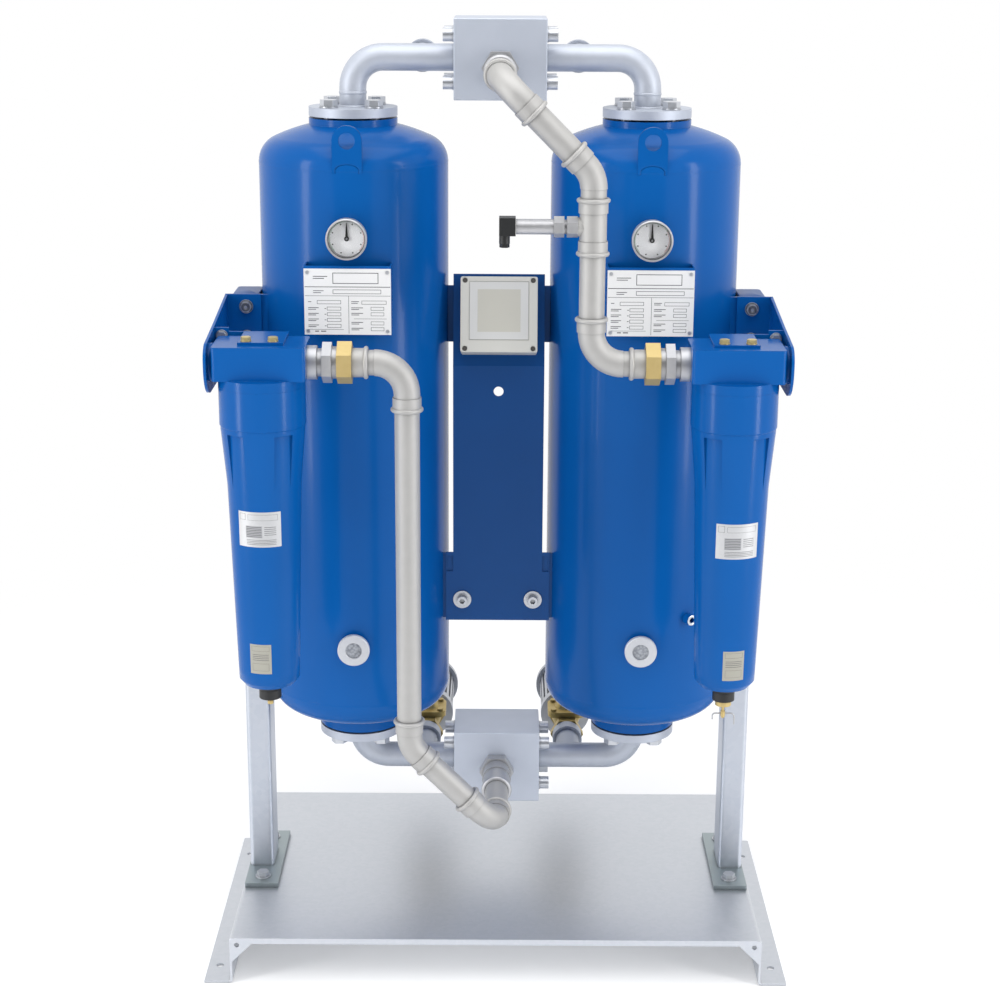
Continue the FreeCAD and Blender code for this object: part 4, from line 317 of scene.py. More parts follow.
filter_x = 0.3535
filter_y = -0.238
foot_line = 0.530
boss_foot_x = 0.4223
port_height = 1.0215
for side, way in (("left", -1), ("right", 1)):
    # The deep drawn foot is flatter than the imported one: its lowest 27 mm are pressed into 15 mm
    shape = node_copy("filter_bowl_" + side)
    for corner in shape.verts:
        if corner.co.z < foot_line:
            corner.co.z = foot_line - (foot_line - corner.co.z) * 15 / 27
    crease(shape, 28)
    bowl = shape_object("flat_footed_bowl_" + side, shape, blue_enamel)
    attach(bowl, "stand")
    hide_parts("filter_bowl_" + side)
    # Round boss of the head's outer port, which stands in the hole of the bracket
    lathe("port_boss_" + side, (boss_foot_x * way, filter_y, port_height), (way, 0, 0),
          [(17.2, 0), (17.2, 10.6), (18.4, 11.8), (27.3, 11.8), (28.5, 10.6), (28.5, 0)],
          blue_enamel)


# Stand: folded base tray and two box section posts on foot plates.
# Cut and folded from hot dip galvanised sheet and tube. Zinc crystals 7 to 9 mm wide give the satin
# grey a quiet pattern, and the gloss is soft enough to blur what stands on the tray.
def metal(name, light, dark, cloud_mm, roughness, spread, grain_mm, grain_depth_mm, edge_mm, crystals=False,
          bright=1.0, foot_tone=None):
    """A bare or plated metal: two close tones in patches, an uneven gloss, a fine grain, broken edges, and
    painted shade that darkens its corners.
    Under 1, bright leaves room for the matt oxide that dulls it."""
    material, tree = surface(name)
    place = add(tree, "TexCoord").outputs["Object"]
    if crystals:
        patch = add(tree, "TexVoronoi", inputs={"Vector": place, "Scale": 1000 / cloud_mm})
        level = add(tree, "SeparateColor", inputs={"Color": patch.outputs["Color"]}).outputs["Red"]
    else:
        patch = add(tree, "TexNoise", inputs={"Vector": place, "Scale": 1000 / cloud_mm, "Detail": 3.0})
        level = patch.outputs["Fac"]
    tone = add(tree, "Mix", {"data_type": "RGBA"},
               {FACTOR: level, FIRST: linear(dark), SECOND: linear(light)})
    gloss = add(tree, "MapRange", inputs={
        "Value": level, "To Min": roughness - spread, "To Max": roughness + spread})
    grain = add(tree, "TexNoise", inputs={"Vector": place, "Scale": 1000 / grain_mm, "Detail": 3.0})
    soft = add(tree, "Bevel", {"samples": 4}, {"Radius": edge_mm / 1000})
    bump = add(tree, "Bump", inputs={
        "Height": grain.outputs["Fac"], "Distance": grain_depth_mm / 1000, "Normal": soft.outputs["Normal"]})
    if foot_tone:
        # The foot plates have a duller zinc than the tube
        plate_top = 0.0884
        height = add(tree, "SeparateXYZ", inputs={0: place}).outputs["Z"]
        below = add(tree, "Math", {"operation": "LESS_THAN"}, {0: height, 1: plate_top})
        tone = add(tree, "Mix", {"data_type": "RGBA"},
                   {FACTOR: below.outputs[0], FIRST: tone.outputs[MIXED], SECOND: linear(foot_tone)})
    # Painted shade: the tone darkens towards a dark grey in corners and crevices, found by ambient occlusion
    corner = add(tree, "AmbientOcclusion", {"samples": 6}, {"Distance": 0.007})
    clean = add(tree, "MapRange", inputs={
        "Value": corner.outputs["AO"], "From Min": 0.25, "From Max": 0.85, "To Min": 0.35})
    tone = add(tree, "Mix", {"data_type": "RGBA"},
               {FACTOR: clean.outputs[0], FIRST: linear("#3C3E42"), SECOND: tone.outputs[MIXED]})
    shader = add(tree, "BsdfPrincipled", inputs={
        "Base Color": tone.outputs[MIXED], "Metallic": bright, "Roughness": gloss.outputs[0],
        "Normal": bump.outputs["Normal"]})
    add(tree, "OutputMaterial", inputs={"Surface": shader.outputs[0]})
    return material


galvanised_sheet = metal("hot_dip_galvanised_sheet", "#D2D5DB", "#CDD1D7", cloud_mm=7.0, roughness=0.40,
                         spread=0.012, grain_mm=1.2, grain_depth_mm=0.004, edge_mm=1.2, crystals=True)
galvanised_post = metal("galvanised_post_tube", "#CACFD8", "#C4CAD4", cloud_mm=9.0, roughness=0.44,
                        spread=0.012, grain_mm=1.2, grain_depth_mm=0.004, edge_mm=1.5, crystals=True,
                        foot_tone="#A6B0B3")
finish(galvanised_sheet, "base_frame")
finish(galvanised_post, "post_left", "post_right")

# Places of the posts, and half the straight sides between their rounded corners
post_x = 0.403
post_y = 0.025
half_width = 0.0135
half_depth = 0.029
corner_radius = 0.007
for side, way in (("left", -1), ("right", 1)):
    # A painted sheet cap with a broken upper edge closes the top of each post, in the darker blue that
    # carries painted shade
    shape = bmesh.new()
    rings = []
    for inset, height in ((0.0, 1.0821), (0.0, 1.0830), (0.0008, 1.0836)):
        ring = []
        for quarter in range(4):
            for step in range(7):
                angle = math.radians(90 * quarter + 15 * step)
                across = half_width if quarter in (0, 3) else -half_width
                back = half_depth if quarter in (0, 1) else -half_depth
                across += (corner_radius - inset) * math.cos(angle)
                back += (corner_radius - inset) * math.sin(angle)
                ring.append(shape.verts.new((post_x * way + across, post_y + back, height)))
        rings.append(ring)
    for low, high in zip(rings, rings[1:]):
        for at in range(len(low)):
            shape.faces.new((low[at - 1], low[at], high[at], high[at - 1]))
    shape.faces.new(rings[-1])
    shape.faces.new(list(reversed(rings[0])))
    crease(shape, 28)
    cap = shape_object("post_cap_" + side, shape, panel_enamel)
    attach(cap, "stand")


# Tower pipes: bent steel tube with welded flanges, bolted to the nozzles over fibre gaskets.
# Hot dip galvanised after welding, so the zinc is bright and cool, and runs smoothly over the beads.
galvanised_pipe = metal("bright_galvanised_pipe", "#C3C8D2", "#B9BFCA", cloud_mm=12.0, roughness=0.52,
                        spread=0.04, grain_mm=2.5, grain_depth_mm=0.02, edge_mm=0.9, bright=0.5)
finish(galvanised_pipe, "upper_pipe_left", "upper_pipe_right", "lower_pipe_left", "lower_pipe_right")

gasket_board, tree = surface("fibre_gasket_board")
place = add(tree, "TexCoord").outputs["Object"]
# Fibre flecks of about 1 mm
flecks = add(tree, "TexNoise", inputs={"Vector": place, "Scale": 900.0, "Detail": 4.0})
tone = add(tree, "Mix", {"data_type": "RGBA"},
           {FACTOR: flecks.outputs["Fac"], FIRST: linear("#2B2F30"), SECOND: linear("#4A4F50")})
bump = add(tree, "Bump", inputs={"Height": flecks.outputs["Fac"], "Distance": 0.00005})
board = add(tree, "BsdfPrincipled", inputs={
    "Base Color": tone.outputs[MIXED], "Roughness": 0.85, "Normal": bump.outputs["Normal"], "IOR": 1.5})
add(tree, "OutputMaterial", inputs={"Surface": board.outputs[0]})
finish(gasket_board, "flange_gaskets")

tube_radius = 0.0216
neck_radius = 0.0212
fine_pitch = 0.0009
butt_width = 0.005
butt_rise = 0.0011
for side, x, y in tower_axes:
    weld("upper_flange_weld_" + side, ring_line(Vector((x, y, 1.3746)), tube_radius, 45, fine_pitch),
         bead_width, fillet_rise, galvanised_pipe)
    # Butt weld between the neck of the flange and the elbow
    weld("upper_neck_weld_" + side, ring_line(Vector((x, y, 1.3955)), neck_radius, 0, fine_pitch),
         butt_width, butt_rise, galvanised_pipe)
    weld("lower_flange_weld_" + side, ring_line(Vector((x, y, 0.3224)), tube_radius, -45, fine_pitch),
         bead_width, fillet_rise, galvanised_pipe)


# Fasteners: hex bolts with washers, and socket screws in the valve blocks.
# Turned and pressed steel. Most are bright zinc plated. Those on the filter heads are plated and
# passivated yellow.
zinc_plate = metal("zinc_plate", "#D3D5DA", "#C4C8CE", cloud_mm=5.0, roughness=0.34, spread=0.05,
                   grain_mm=0.7, grain_depth_mm=0.01, edge_mm=0.5, bright=0.7)
yellow_zinc = metal("yellow_passivated_zinc", "#D8C68E", "#CBB67C", cloud_mm=4.0, roughness=0.42, spread=0.05,
                    grain_mm=0.7, grain_depth_mm=0.01, edge_mm=0.5, bright=0.6)
finish(zinc_plate, "flange_bolts", "frame_bolts", "panel_bolts", "block_screws", "nameplate_rivets")
finish(yellow_zinc, "head_bolts")
worn_steel = metal("dark_zinc_bolt_rings", "#7C8087", "#6A6E75", cloud_mm=4.0, roughness=0.4, spread=0.05,
                   grain_mm=0.7, grain_depth_mm=0.01, edge_mm=0.3, bright=0.8)

# The M8 bolts of the top tabs sit on 16 mm washers
inner_bolt = 0.3335
outer_bolt = 0.3735
tab_bolt_y = -0.254
head_reach = 0.0082
washer_radius = 0.008
shape = node_copy("head_bolts")
for corner in shape.verts:
    bolt_x = inner_bolt if abs(corner.co.x) < filter_x else outer_bolt
    axis = Vector((math.copysign(bolt_x, corner.co.x), tab_bolt_y, corner.co.z))
    arm = corner.co - axis
    if arm.length > head_reach:
        corner.co = axis + arm * (washer_radius / arm.length)
crease(shape, 28)
tab_bolts = shape_object("tab_bolts_on_small_washers", shape, yellow_zinc)
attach(tab_bolts, "stand")
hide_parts("head_bolts")

ear_bolt_x = 0.401
washer_face = -0.025
head_face = -0.0314
for side, way in (("left", -1), ("right", 1)):
    # Lock ring on the washer and turned face on the head of the two M10 bolts through each upper ear, both
    # drawn in a dark zinc
    for level, z in (("high", 1.066), ("low", 1.017)):
        lathe(f"lock_ring_{side}_{level}", (ear_bolt_x * way, washer_face, z), (0, -1, 0),
              [(9.3, -0.1), (9.3, 0.5), (10.1, 0.5), (10.1, -0.1)], worn_steel, 48)
        lathe(f"turned_face_{side}_{level}", (ear_bolt_x * way, head_face, z), (0, -1, 0),
              [(2.6, -0.2), (2.6, 0.3), (6.6, 0.3), (7.2, -0.2)], worn_steel, 48)


# Valve blocks: shuttle valves that send the air to one tower and back from the other.
# Milled from aluminium bar and clear anodised. Cutter marks about a millimetre apart stay faintly
# visible. The shuttle inside is turned from bright steel.
block_aluminium, tree = surface("clear_anodised_milled_aluminium")
place = add(tree, "TexCoord").outputs["Object"]
clouds = add(tree, "TexNoise", inputs={"Vector": place, "Scale": 30.0, "Detail": 2.0})
tone = add(tree, "Mix", {"data_type": "RGBA"},
           {FACTOR: clouds.outputs["Fac"], FIRST: linear("#BDC4D0"), SECOND: linear("#C6CCD8")})
marks = add(tree, "TexWave", {"bands_direction": "Z"},
            {"Vector": place, "Scale": 320.0, "Distortion": 0.6, "Detail": 2.0})
soft = add(tree, "Bevel", {"samples": 4}, {"Radius": 0.001})
bump = add(tree, "Bump", inputs={
    "Height": marks.outputs["Fac"], "Distance": 0.000004, "Normal": soft.outputs["Normal"]})
block = add(tree, "BsdfPrincipled", inputs={
    "Base Color": tone.outputs[MIXED], "Metallic": 0.5, "Roughness": 0.48, "Normal": bump.outputs["Normal"]})
add(tree, "OutputMaterial", inputs={"Surface": block.outputs[0]})
finish(block_aluminium, "upper_valve_block", "lower_valve_block")
bright_steel = metal("turned_stainless_steel", "#C3C3C5", "#B4B5B8", cloud_mm=8.0, roughness=0.44,
                     spread=0.05, grain_mm=0.8, grain_depth_mm=0.008, edge_mm=0.5, bright=0.7)
finish(bright_steel, "upper_shuttle", "lower_shuttle")


# Pipework in front of the towers: press fittings, tube, adapters and unions.
# Thin stainless tube with pressed sockets, each with a round bead over its seal. The steel is
# pickled, so it is matt and warmer than the zinc. Union nuts are raw brass.
pickled_steel = metal("pickled_stainless_press_fitting", "#BDBCBA", "#B3B2B0", cloud_mm=14.0, roughness=0.58,
                      spread=0.04, grain_mm=1.1, grain_depth_mm=0.02, edge_mm=0.6, bright=0.6)
finish(pickled_steel, "downpipe_elbows", "riser_elbows", "riser_tee", "press_tubes", "union_tails")
finish(bright_steel, "union_bodies", "port_adapters", "sensor_body")
raw_brass = metal("raw_brass", "#D2BC84", "#C4AC70", cloud_mm=9.0, roughness=0.44, spread=0.06,
                  grain_mm=0.9, grain_depth_mm=0.02, edge_mm=0.5, bright=0.6)
finish(raw_brass, "union_nuts", "drain_nipple", "drain_stem")


# Exhaust valves and silencers behind the lower pipes.
# The valve bodies are sand cast in brass, so their skin is grainy where it isn't machined. The
# silencers are ribbed steel cans.
cast_brass = metal("sand_cast_brass", "#D0BC80", "#9C8448", cloud_mm=14.0, roughness=0.42, spread=0.08,
                   grain_mm=1.6, grain_depth_mm=0.16, edge_mm=1.6, bright=0.8)
finish(cast_brass, "exhaust_valves")
silencer_steel = metal("pressed_silencer_steel", "#CBCDD1", "#B5B8BE", cloud_mm=12.0, roughness=0.40,
                       spread=0.05, grain_mm=1.2, grain_depth_mm=0.02, edge_mm=0.8, bright=0.7)
finish(silencer_steel, "silencers", "exhaust_caps")


# Dew point sensor plug and filter drains: a right angle connector, and a nut under each bowl.
# Both are moulded in black nylon. Spark eroded tools leave them evenly matt, and their edges are
# slightly rounded. The drain's wire lever is bent from bright steel.
black_nylon, tree = surface("moulded_black_nylon")
place = add(tree, "TexCoord").outputs["Object"]
grain = add(tree, "TexNoise", inputs={"Vector": place, "Scale": 2200.0, "Detail": 2.0})
tone = add(tree, "Mix", {"data_type": "RGBA"},
           {FACTOR: grain.outputs["Fac"], FIRST: linear("#141517"), SECOND: linear("#1E2022")})
soft = add(tree, "Bevel", {"samples": 4}, {"Radius": 0.0007})
bump = add(tree, "Bump", inputs={
    "Height": grain.outputs["Fac"], "Distance": 0.00004, "Normal": soft.outputs["Normal"]})
nylon = add(tree, "BsdfPrincipled", inputs={
    "Base Color": tone.outputs[MIXED], "Roughness": 0.48, "Normal": bump.outputs["Normal"], "IOR": 1.53})
add(tree, "OutputMaterial", inputs={"Surface": nylon.outputs[0]})
finish(black_nylon, "sensor_plug", "drain_nuts")
finish(bright_steel, "drain_lever")
packed_nut_top = 0.5029
for side, way in (("left", -1), ("right", 1)):
    # The drain nut's upper half, up to the flat foot of the bowl
    lathe("drain_nut_crown_" + side, (filter_x * way, filter_y, packed_nut_top), (0, 0, 1),
          [(5.0, 0), (5.0, 12.4), (16.4, 12.4), (17.2, 11.6), (17.2, 0)], black_nylon)


# Controller: a light grey enclosure with a printed film front.
# The case is moulded polycarbonate with a fine sparked texture. A white polyester film is let into
# its lid, and the display window in it is a plain pale grey.
enclosure, tree = surface("moulded_grey_polycarbonate")
place = add(tree, "TexCoord").outputs["Object"]
grain = add(tree, "TexNoise", inputs={"Vector": place, "Scale": 1500.0, "Detail": 2.0})
tone = add(tree, "Mix", {"data_type": "RGBA"},
           {FACTOR: grain.outputs["Fac"], FIRST: linear("#C9C8C0"), SECOND: linear("#CFCEC7")})
soft = add(tree, "Bevel", {"samples": 4}, {"Radius": 0.0012})
bump = add(tree, "Bump", inputs={
    "Height": grain.outputs["Fac"], "Distance": 0.00005, "Normal": soft.outputs["Normal"]})
case = add(tree, "BsdfPrincipled", inputs={
    "Base Color": tone.outputs[MIXED], "Roughness": 0.5, "Normal": bump.outputs["Normal"], "IOR": 1.58})
add(tree, "OutputMaterial", inputs={"Surface": case.outputs[0]})
finish(enclosure, "controller_case")


def film(name, colour, roughness, ior=1.58):
    """A printed plastic film or ink: one even colour with a faint fine grain in its gloss."""
    spread = 0.05
    material, tree = surface(name)
    place = add(tree, "TexCoord").outputs["Object"]
    grain = add(tree, "TexNoise", inputs={"Vector": place, "Scale": 2500.0, "Detail": 1.0})
    gloss = add(tree, "MapRange", inputs={
        "Value": grain.outputs["Fac"], "To Min": roughness - spread, "To Max": roughness + spread})
    print_coat = add(tree, "BsdfPrincipled", inputs={
        "Base Color": linear(colour), "Roughness": gloss.outputs[0], "IOR": ior})
    add(tree, "OutputMaterial", inputs={"Surface": print_coat.outputs[0]})
    return material


white_film = film("white_polyester_film", "#CFCFCC", 0.45)
window_film = film("grey_display_window", "#C3C1B6", 0.35)
border_grey = film("film_border_grey", "#A8A7A2", 0.5)
screw_nylon = film("dark_grey_screw_nylon", "#4B4845", 0.5, ior=1.53)
finish(white_film, "controller_panel")
finish(screw_nylon, "controller_screws")


def ink(name, blocks, point, material):
    """Thin printed areas. Each block is left, right, bottom and top in mm, mapped by a point function."""
    longest_step = 3
    shape = bmesh.new()
    for left, right, bottom, top in blocks:
        steps = max(1, int((right - left) / longest_step))
        across = [left + (right - left) * n / steps for n in range(steps + 1)]
        low = [shape.verts.new(point(u, bottom)) for u in across]
        high = [shape.verts.new(point(u, top)) for u in across]
        for n in range(steps):
            shape.faces.new((low[n], low[n + 1], high[n + 1], high[n]))
    thing = shape_object(name, shape, material)
    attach(thing, "stand")


def frame_of(left, right, bottom, top, line):
    """Four thin blocks that draw an empty box."""
    return [(left, right, bottom, bottom + line), (left, right, top - line, top),
            (left, left + line, bottom + line, top - line), (right - line, right, bottom + line, top - line)]


lean = math.radians(16)
up_face = Vector((0, math.sin(lean), math.cos(lean)))
out_face = Vector((0, -math.cos(lean), math.sin(lean)))
fold = Vector((0, -0.006, 0.968))
film_face = 0.05248


def on_film(u, v):
    """A point on the leaning film, in mm right of its middle and up from the panel's fold."""
    return fold + Vector((1, 0, 0)) * u / 1000 + up_face * v / 1000 + out_face * film_face


ink("controller_window", [(-34, 34, 50.3, 117.7)], on_film, window_film)
ink("controller_film_border", frame_of(-47.2, 47.2, 37.6, 130.4, 1.0), on_film, border_grey)


# Pressure gauges: 63 mm case, white dial, black pointer under a glass.
# The case and ring are drawn stainless steel. The dial is sheet aluminium lacquered white, with
# eight dots and a thin printed arc that is green over the working range and red above it.
dial_lacquer = film("white_dial_lacquer", "#E9EAEC", 0.45)
dial_black = film("dial_print_black", "#2A2C30", 0.5)
dial_green = film("dial_print_green", "#7FA88C", 0.5)
dial_red = film("dial_print_red", "#C98A86", 0.5)
finish(bright_steel, "gauge_cases")
finish(dial_lacquer, "gauge_dials")
finish(film("pointer_black_lacquer", "#141416", 0.35), "gauge_pointer_left", "gauge_pointer_right")

gauge_glass, tree = surface("clear_flat_glass")
place = add(tree, "TexCoord").outputs["Object"]
# The pane waves by 20 microns over 25 mm
wave = add(tree, "TexNoise", inputs={"Vector": place, "Scale": 40.0})
bump = add(tree, "Bump", inputs={"Height": wave.outputs["Fac"], "Distance": 0.00002})
clear = add(tree, "BsdfPrincipled", inputs={
    "Base Color": linear("#FFFFFF"), "Roughness": 0.02, "IOR": 1.5, "Transmission Weight": 1.0,
    "Normal": bump.outputs["Normal"]})
let_through = add(tree, "BsdfTransparent")
rays = add(tree, "LightPath")
mixed = add(tree, "MixShader", inputs={
    0: rays.outputs["Is Shadow Ray"], 1: clear.outputs[0], 2: let_through.outputs[0]})
add(tree, "OutputMaterial", inputs={"Surface": mixed.outputs[0]})
finish(gauge_glass, "gauge_lenses")


def dial_arc(shape, centre, near, far, start, end):
    """A flat printed band round the dial, from one angle to another, clockwise from the top."""
    count = max(3, int(abs(end - start) / 4))
    turns = [math.radians(start + (end - start) * n / count) for n in range(count + 1)]
    inner, outer = [[shape.verts.new(centre + Vector((math.sin(a), 0, math.cos(a))) * r) for a in turns]
                    for r in (near, far)]
    for n in range(count):
        shape.faces.new((inner[n], inner[n + 1], outer[n + 1], outer[n]))


print_face = -0.12706
gauge_height = 1.190
dots = 8
dot_circle = 0.0232
dot_radius = 0.0011
scale_start, scale_red, scale_end = -135, 60, 135
divisions = 50
half_tick = 0.35
tick_near, tick_far = 0.0248, 0.0256
arc_near, arc_far = 0.0259, 0.0266
for side, x, y in tower_axes:
    centre = Vector((x, print_face, gauge_height))
    shape = bmesh.new()
    for number in range(dots):
        angle = math.radians(360 / dots * (number + 0.5))
        spot = centre + Vector((math.sin(angle), 0, math.cos(angle))) * dot_circle
        dial_arc(shape, spot, 0.0, dot_radius, 0, 360)
    # Fine marks, with every fifth left out
    for number in range(divisions + 1):
        angle = scale_start + (scale_end - scale_start) * number / divisions
        if number % 5:
            dial_arc(shape, centre, tick_near, tick_far, angle - half_tick, angle + half_tick)
    bmesh.ops.remove_doubles(shape, verts=shape.verts, dist=1e-6)
    marks = shape_object("dial_marks_" + side, shape, dial_black)
    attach(marks, "stand")
    for name, start, end, colour in (("green", scale_start, scale_red, dial_green),
                                     ("red", scale_red, scale_end, dial_red)):
        shape = bmesh.new()
        # Lifted by 20 microns, so that the inks don't share a plane
        dial_arc(shape, centre + Vector((0, -0.00002, 0)), arc_near, arc_far, start, end)
        band = shape_object(f"dial_{name}_arc_{side}", shape, colour)
        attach(band, "stand")


# Sample boss: a short round steel boss low on the right tower, with a threaded hole.
# It is welded on and painted with the tower, and its turned face is left bare.
boss_angle = math.radians(30.7)
facing = Vector((math.sin(boss_angle), -math.cos(boss_angle), 0))
boss_reach = 0.163
# On the axis of the right tower, at the boss's height
tower_middle = Vector((0.232, 0.046, 0.568))
lathe("sample_boss_face", tower_middle + facing * boss_reach, facing,
      [(4.4, -0.2), (4.4, 0.3), (8.5, 0.3), (8.9, -0.2)], zinc_plate, 48)


# Sight glasses: a turned aluminium ring clamps a round glass over a boss low on each tower.
# The ring is satin anodised. Behind the clear glass lie the white desiccant beads, about 4 mm across.
aluminium_ring = metal("satin_aluminium_ring", "#D5D7DB", "#CACCD1", cloud_mm=6.0, roughness=0.45,
                       spread=0.04, grain_mm=0.8, grain_depth_mm=0.008, edge_mm=0.6, bright=0.35)
finish(aluminium_ring, "sight_glass_rings")
bead_mm = 4.0

sight_glass, tree = surface("sight_glass_over_beads")
place = add(tree, "TexCoord").outputs["Object"]
beads = add(tree, "TexVoronoi", inputs={"Vector": place, "Scale": 1000 / bead_mm})
# Painted shade: the white beads are drawn grey, as they look in the dark behind the glass, and each darkens
# towards its rim and the gaps between beads
tone = add(tree, "Mix", {"data_type": "RGBA"},
           {FACTOR: beads.outputs["Distance"], FIRST: linear("#B4B8BF"), SECOND: linear("#6E737B")})
bump = add(tree, "Bump", {"invert": True}, {"Height": beads.outputs["Distance"], "Distance": 0.001})
glass = add(tree, "BsdfPrincipled", inputs={
    "Base Color": tone.outputs[MIXED], "Roughness": 0.5, "IOR": 1.5, "Normal": bump.outputs["Normal"],
    "Coat Weight": 1.0, "Coat Roughness": 0.03})
add(tree, "OutputMaterial", inputs={"Surface": glass.outputs[0]})
finish(sight_glass, "sight_glasses")


# Nameplates: anodised aluminium plates riveted over a folded carrier on each tower.
# The plate is matt silver white and its form is screen printed in black. Here the printed form is
# only ruled lines and empty boxes.
plate_aluminium, tree = surface("anodised_nameplate_aluminium")
place = add(tree, "TexCoord").outputs["Object"]
# The anodised face is faintly cloudy in patches of 1 to 2 mm
brush = add(tree, "TexNoise", inputs={"Vector": place, "Scale": 700.0, "Detail": 2.0})
tone = add(tree, "Mix", {"data_type": "RGBA"},
           {FACTOR: brush.outputs["Fac"], FIRST: linear("#E6E6E6"), SECOND: linear("#ECECEB")})
plate = add(tree, "BsdfPrincipled", inputs={
    "Base Color": tone.outputs[MIXED], "Metallic": 0.1, "Roughness": 0.5, "IOR": 1.5})
add(tree, "OutputMaterial", inputs={"Surface": plate.outputs[0]})
finish(plate_aluminium, "nameplates")
print_black = film("screen_print_black", "#26282B", 0.5)


def on_plate(axis_x):
    """A point function for print on a plate, in mm right of its left edge and down from its upper edge."""
    half_plate = 66.5
    plate_face = -0.12906
    plate_top = 1.144

    def point(u, v):
        return Vector((axis_x + (u - half_plate) / 1000, plate_face, plate_top - v / 1000))
    return point


# Rules across and down the form, then its large boxes, then two columns of small boxes with their captions
form = [(1, 132, 27.4, 28.4), (1, 132, 41.4, 42.0), (67.8, 68.4, 42.0, 100), (5, 60, 93.6, 94.1),
        (76, 126, 76.9, 77.4)]
form += frame_of(44, 114, 6, 23, 1.0) + frame_of(44, 118, 32, 38.6, 0.7)
form += frame_of(19.6, 56.3, 48.7, 54.4, 0.6) + frame_of(88, 126, 49, 54.8, 0.6)
for top in (58.7, 67.5, 76.3, 85.6):
    form += frame_of(34.8, 56.3, top, top + 5.5, 0.6)
    form += [(6, 22, top + 0.9, top + 1.9), (6, 18, top + 3.4, top + 4.4), (31, 33.6, top + 2.2, top + 3.2)]
for top in (58.7, 67.2, 81.3, 90.4):
    form += frame_of(101.9, 122.2, top, top + 5.5, 0.6)
    form += [(72, 90, top + 0.9, top + 1.9), (72, 84, top + 3.4, top + 4.4)]
form += [(14, 36, 11.2, 12.3), (14, 31, 14.4, 15.5), (14, 30, 33.4, 34.4), (14, 26, 36.4, 37.4),
         (6, 11, 50.4, 51.4)]
form += [(72, 84, 49.9, 50.9), (72, 82, 52.5, 53.5), (16, 22, 95.9, 97.4), (25, 33, 95.9, 97.4)]
for side, x, y in tower_axes:
    ink("nameplate_print_" + side, form, on_plate(x), print_black)


# Filter labels: self adhesive silver labels wrapped on the painted bowls.
# Metallised polyester, the large one with a satin face and the small one a matt warm grey. The
# printing is only ruled lines and empty boxes.
label_silver, tree = surface("metallised_polyester_label")
place = add(tree, "TexCoord").outputs["Object"]
# The foil's tone is cloudy in patches of about 4 mm
grain = add(tree, "TexNoise", inputs={"Vector": place, "Scale": 260.0, "Detail": 2.0})
tone = add(tree, "Mix", {"data_type": "RGBA"},
           {FACTOR: grain.outputs["Fac"], FIRST: linear("#C6C7C9"), SECOND: linear("#D0D1D3")})
foil = add(tree, "BsdfPrincipled", inputs={
    "Base Color": tone.outputs[MIXED], "Metallic": 0.5, "Roughness": 0.45})
add(tree, "OutputMaterial", inputs={"Surface": foil.outputs[0]})
small_silver = film("matt_silver_label", "#A19F94", 0.4)
label_grey = film("label_print_grey", "#A9AAAD", 0.5)
label_black = film("label_print_black", "#5A5C60", 0.5)
axis_y = -238


def on_bowl(axis_x, middle, height, lift):
    """A point function for print on the tapered bowl, in mm from the middle and lower edge of the print."""
    def point(u, v):
        z = height + v
        # The bowl widens by 9.2 mm over its 315 mm, from 46.8 mm at its foot, 521 mm above the floor
        radius = 46.8 + 9.2 * (z - 521) / 315 + lift
        angle = (middle - axis_x + u) / radius
        return Vector(((axis_x + radius * math.sin(angle)) / 1000,
                       (axis_y - radius * math.cos(angle)) / 1000, z / 1000))
    return point


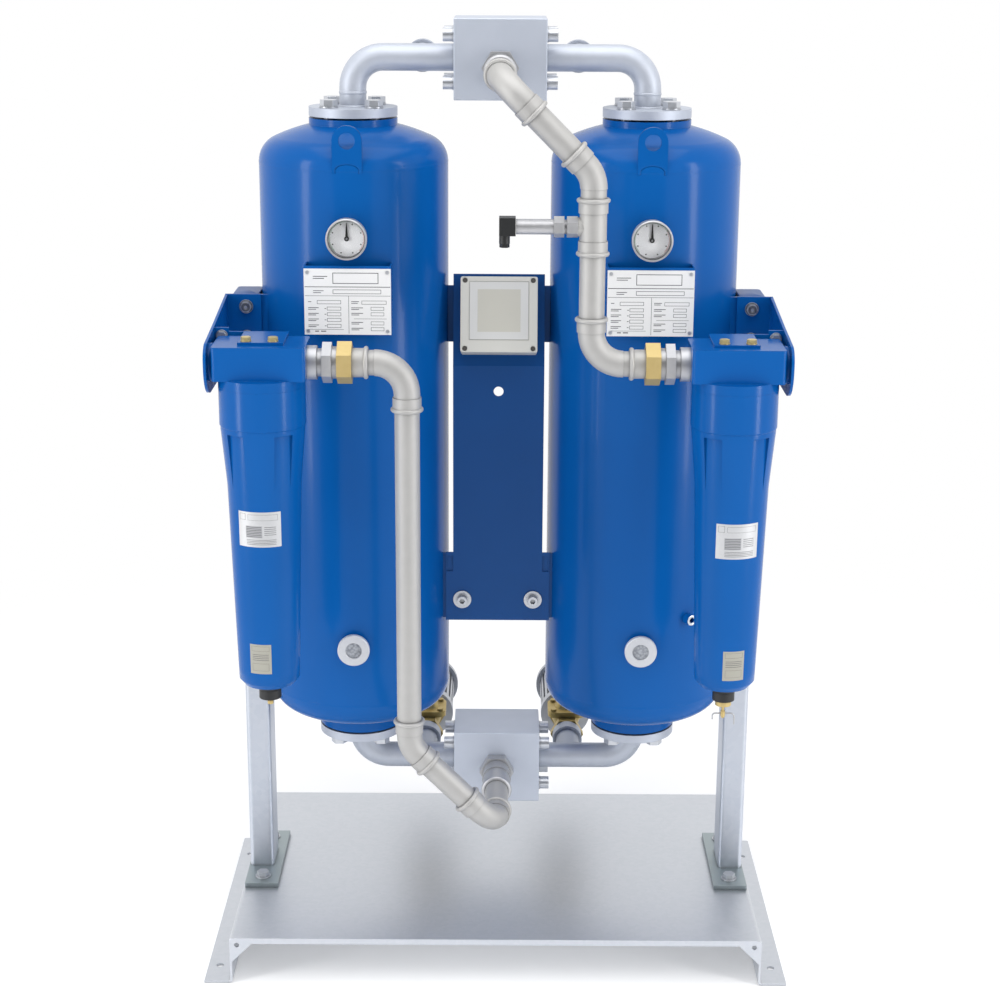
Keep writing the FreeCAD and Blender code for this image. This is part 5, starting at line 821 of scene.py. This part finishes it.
# Heights of the label, the grey field on it, and the ink, in millimetres off the paint
on_paint, on_foil, on_field = 0.12, 0.16, 0.2
large_rows = frame_of(-31, -21, 42, 52, 0.4) + frame_of(-17, 29, 42, 51, 0.35)
large_rows += [(-20, 4, y, y + 1.1) for y in (31, 28.5, 26, 23.5, 21, 18.5, 16)]
large_rows += [(8, 26, y, y + 0.8) for y in (31, 28, 25, 22, 19)]
large_rows += [(-20, 26, y, y + 0.7) for y in (11, 8.6, 6.2, 3.8)]
small_rows = frame_of(-14, 14, 37, 45, 0.35) + [(-13, 13, y, y + 0.8) for y in (31, 28, 25, 22)]
small_rows += frame_of(-13, 13, 5, 17, 0.35)
for side, axis_x, big_x, big_z, small_x, small_z in (("left", -353.5, -357.5, 749, -361.5, 544),
                                                      ("right", 353.5, 360.5, 734, 362, 537)):
    ink("filter_label_" + side, [(-34, 34, 0, 55)], on_bowl(axis_x, big_x, big_z, on_paint),
        label_silver)
    ink("filter_small_label_" + side, [(-17, 17, 0, 48)], on_bowl(axis_x, small_x, small_z, on_paint),
        small_silver)
    ink("filter_label_print_" + side, large_rows, on_bowl(axis_x, big_x, big_z, on_field),
        label_black)
    ink("filter_label_field_" + side, [(-21, 5, 14.5, 33.5)], on_bowl(axis_x, big_x, big_z, on_foil),
        label_grey)
    ink("filter_small_label_print_" + side, small_rows, on_bowl(axis_x, small_x, small_z, on_field),
        label_black)


# Inside the vessels: desiccant beds between perforated screens, and filter elements.
# White alumina beads about 4 mm across, held by steel screens. The elements are pleated borosilicate
# paper. None of it shows while the dryer is whole.
alumina_beads, tree = surface("activated_alumina_beads")
place = add(tree, "TexCoord").outputs["Object"]
beads = add(tree, "TexVoronoi", inputs={"Vector": place, "Scale": 1000 / bead_mm})
# Painted shade: each bead darkens towards its rim and the gaps between beads
tone = add(tree, "Mix", {"data_type": "RGBA"},
           {FACTOR: beads.outputs["Distance"], FIRST: linear("#F1EEE6"), SECOND: linear("#C9C4B8")})
bump = add(tree, "Bump", {"invert": True}, {"Height": beads.outputs["Distance"], "Distance": 0.001})
bead = add(tree, "BsdfPrincipled", inputs={
    "Base Color": tone.outputs[MIXED], "Roughness": 0.8, "Normal": bump.outputs["Normal"], "IOR": 1.5})
add(tree, "OutputMaterial", inputs={"Surface": bead.outputs[0]})
finish(alumina_beads, "desiccant_beds")
finish(zinc_plate, "bed_screens")

pleated_media, tree = surface("pleated_filter_paper")
place = add(tree, "TexCoord").outputs["Object"]
# Cloudy paper, in patches of 3 to 4 mm
patches = add(tree, "TexNoise", inputs={"Vector": place, "Scale": 300.0, "Detail": 2.0})
tone = add(tree, "Mix", {"data_type": "RGBA"},
           {FACTOR: patches.outputs["Fac"], FIRST: linear("#E8E4DA"), SECOND: linear("#F4F1EA")})
media = add(tree, "BsdfPrincipled", inputs={"Base Color": tone.outputs[MIXED], "Roughness": 0.9, "IOR": 1.5})
add(tree, "OutputMaterial", inputs={"Surface": media.outputs[0]})
finish(pleated_media, "filter_elements")
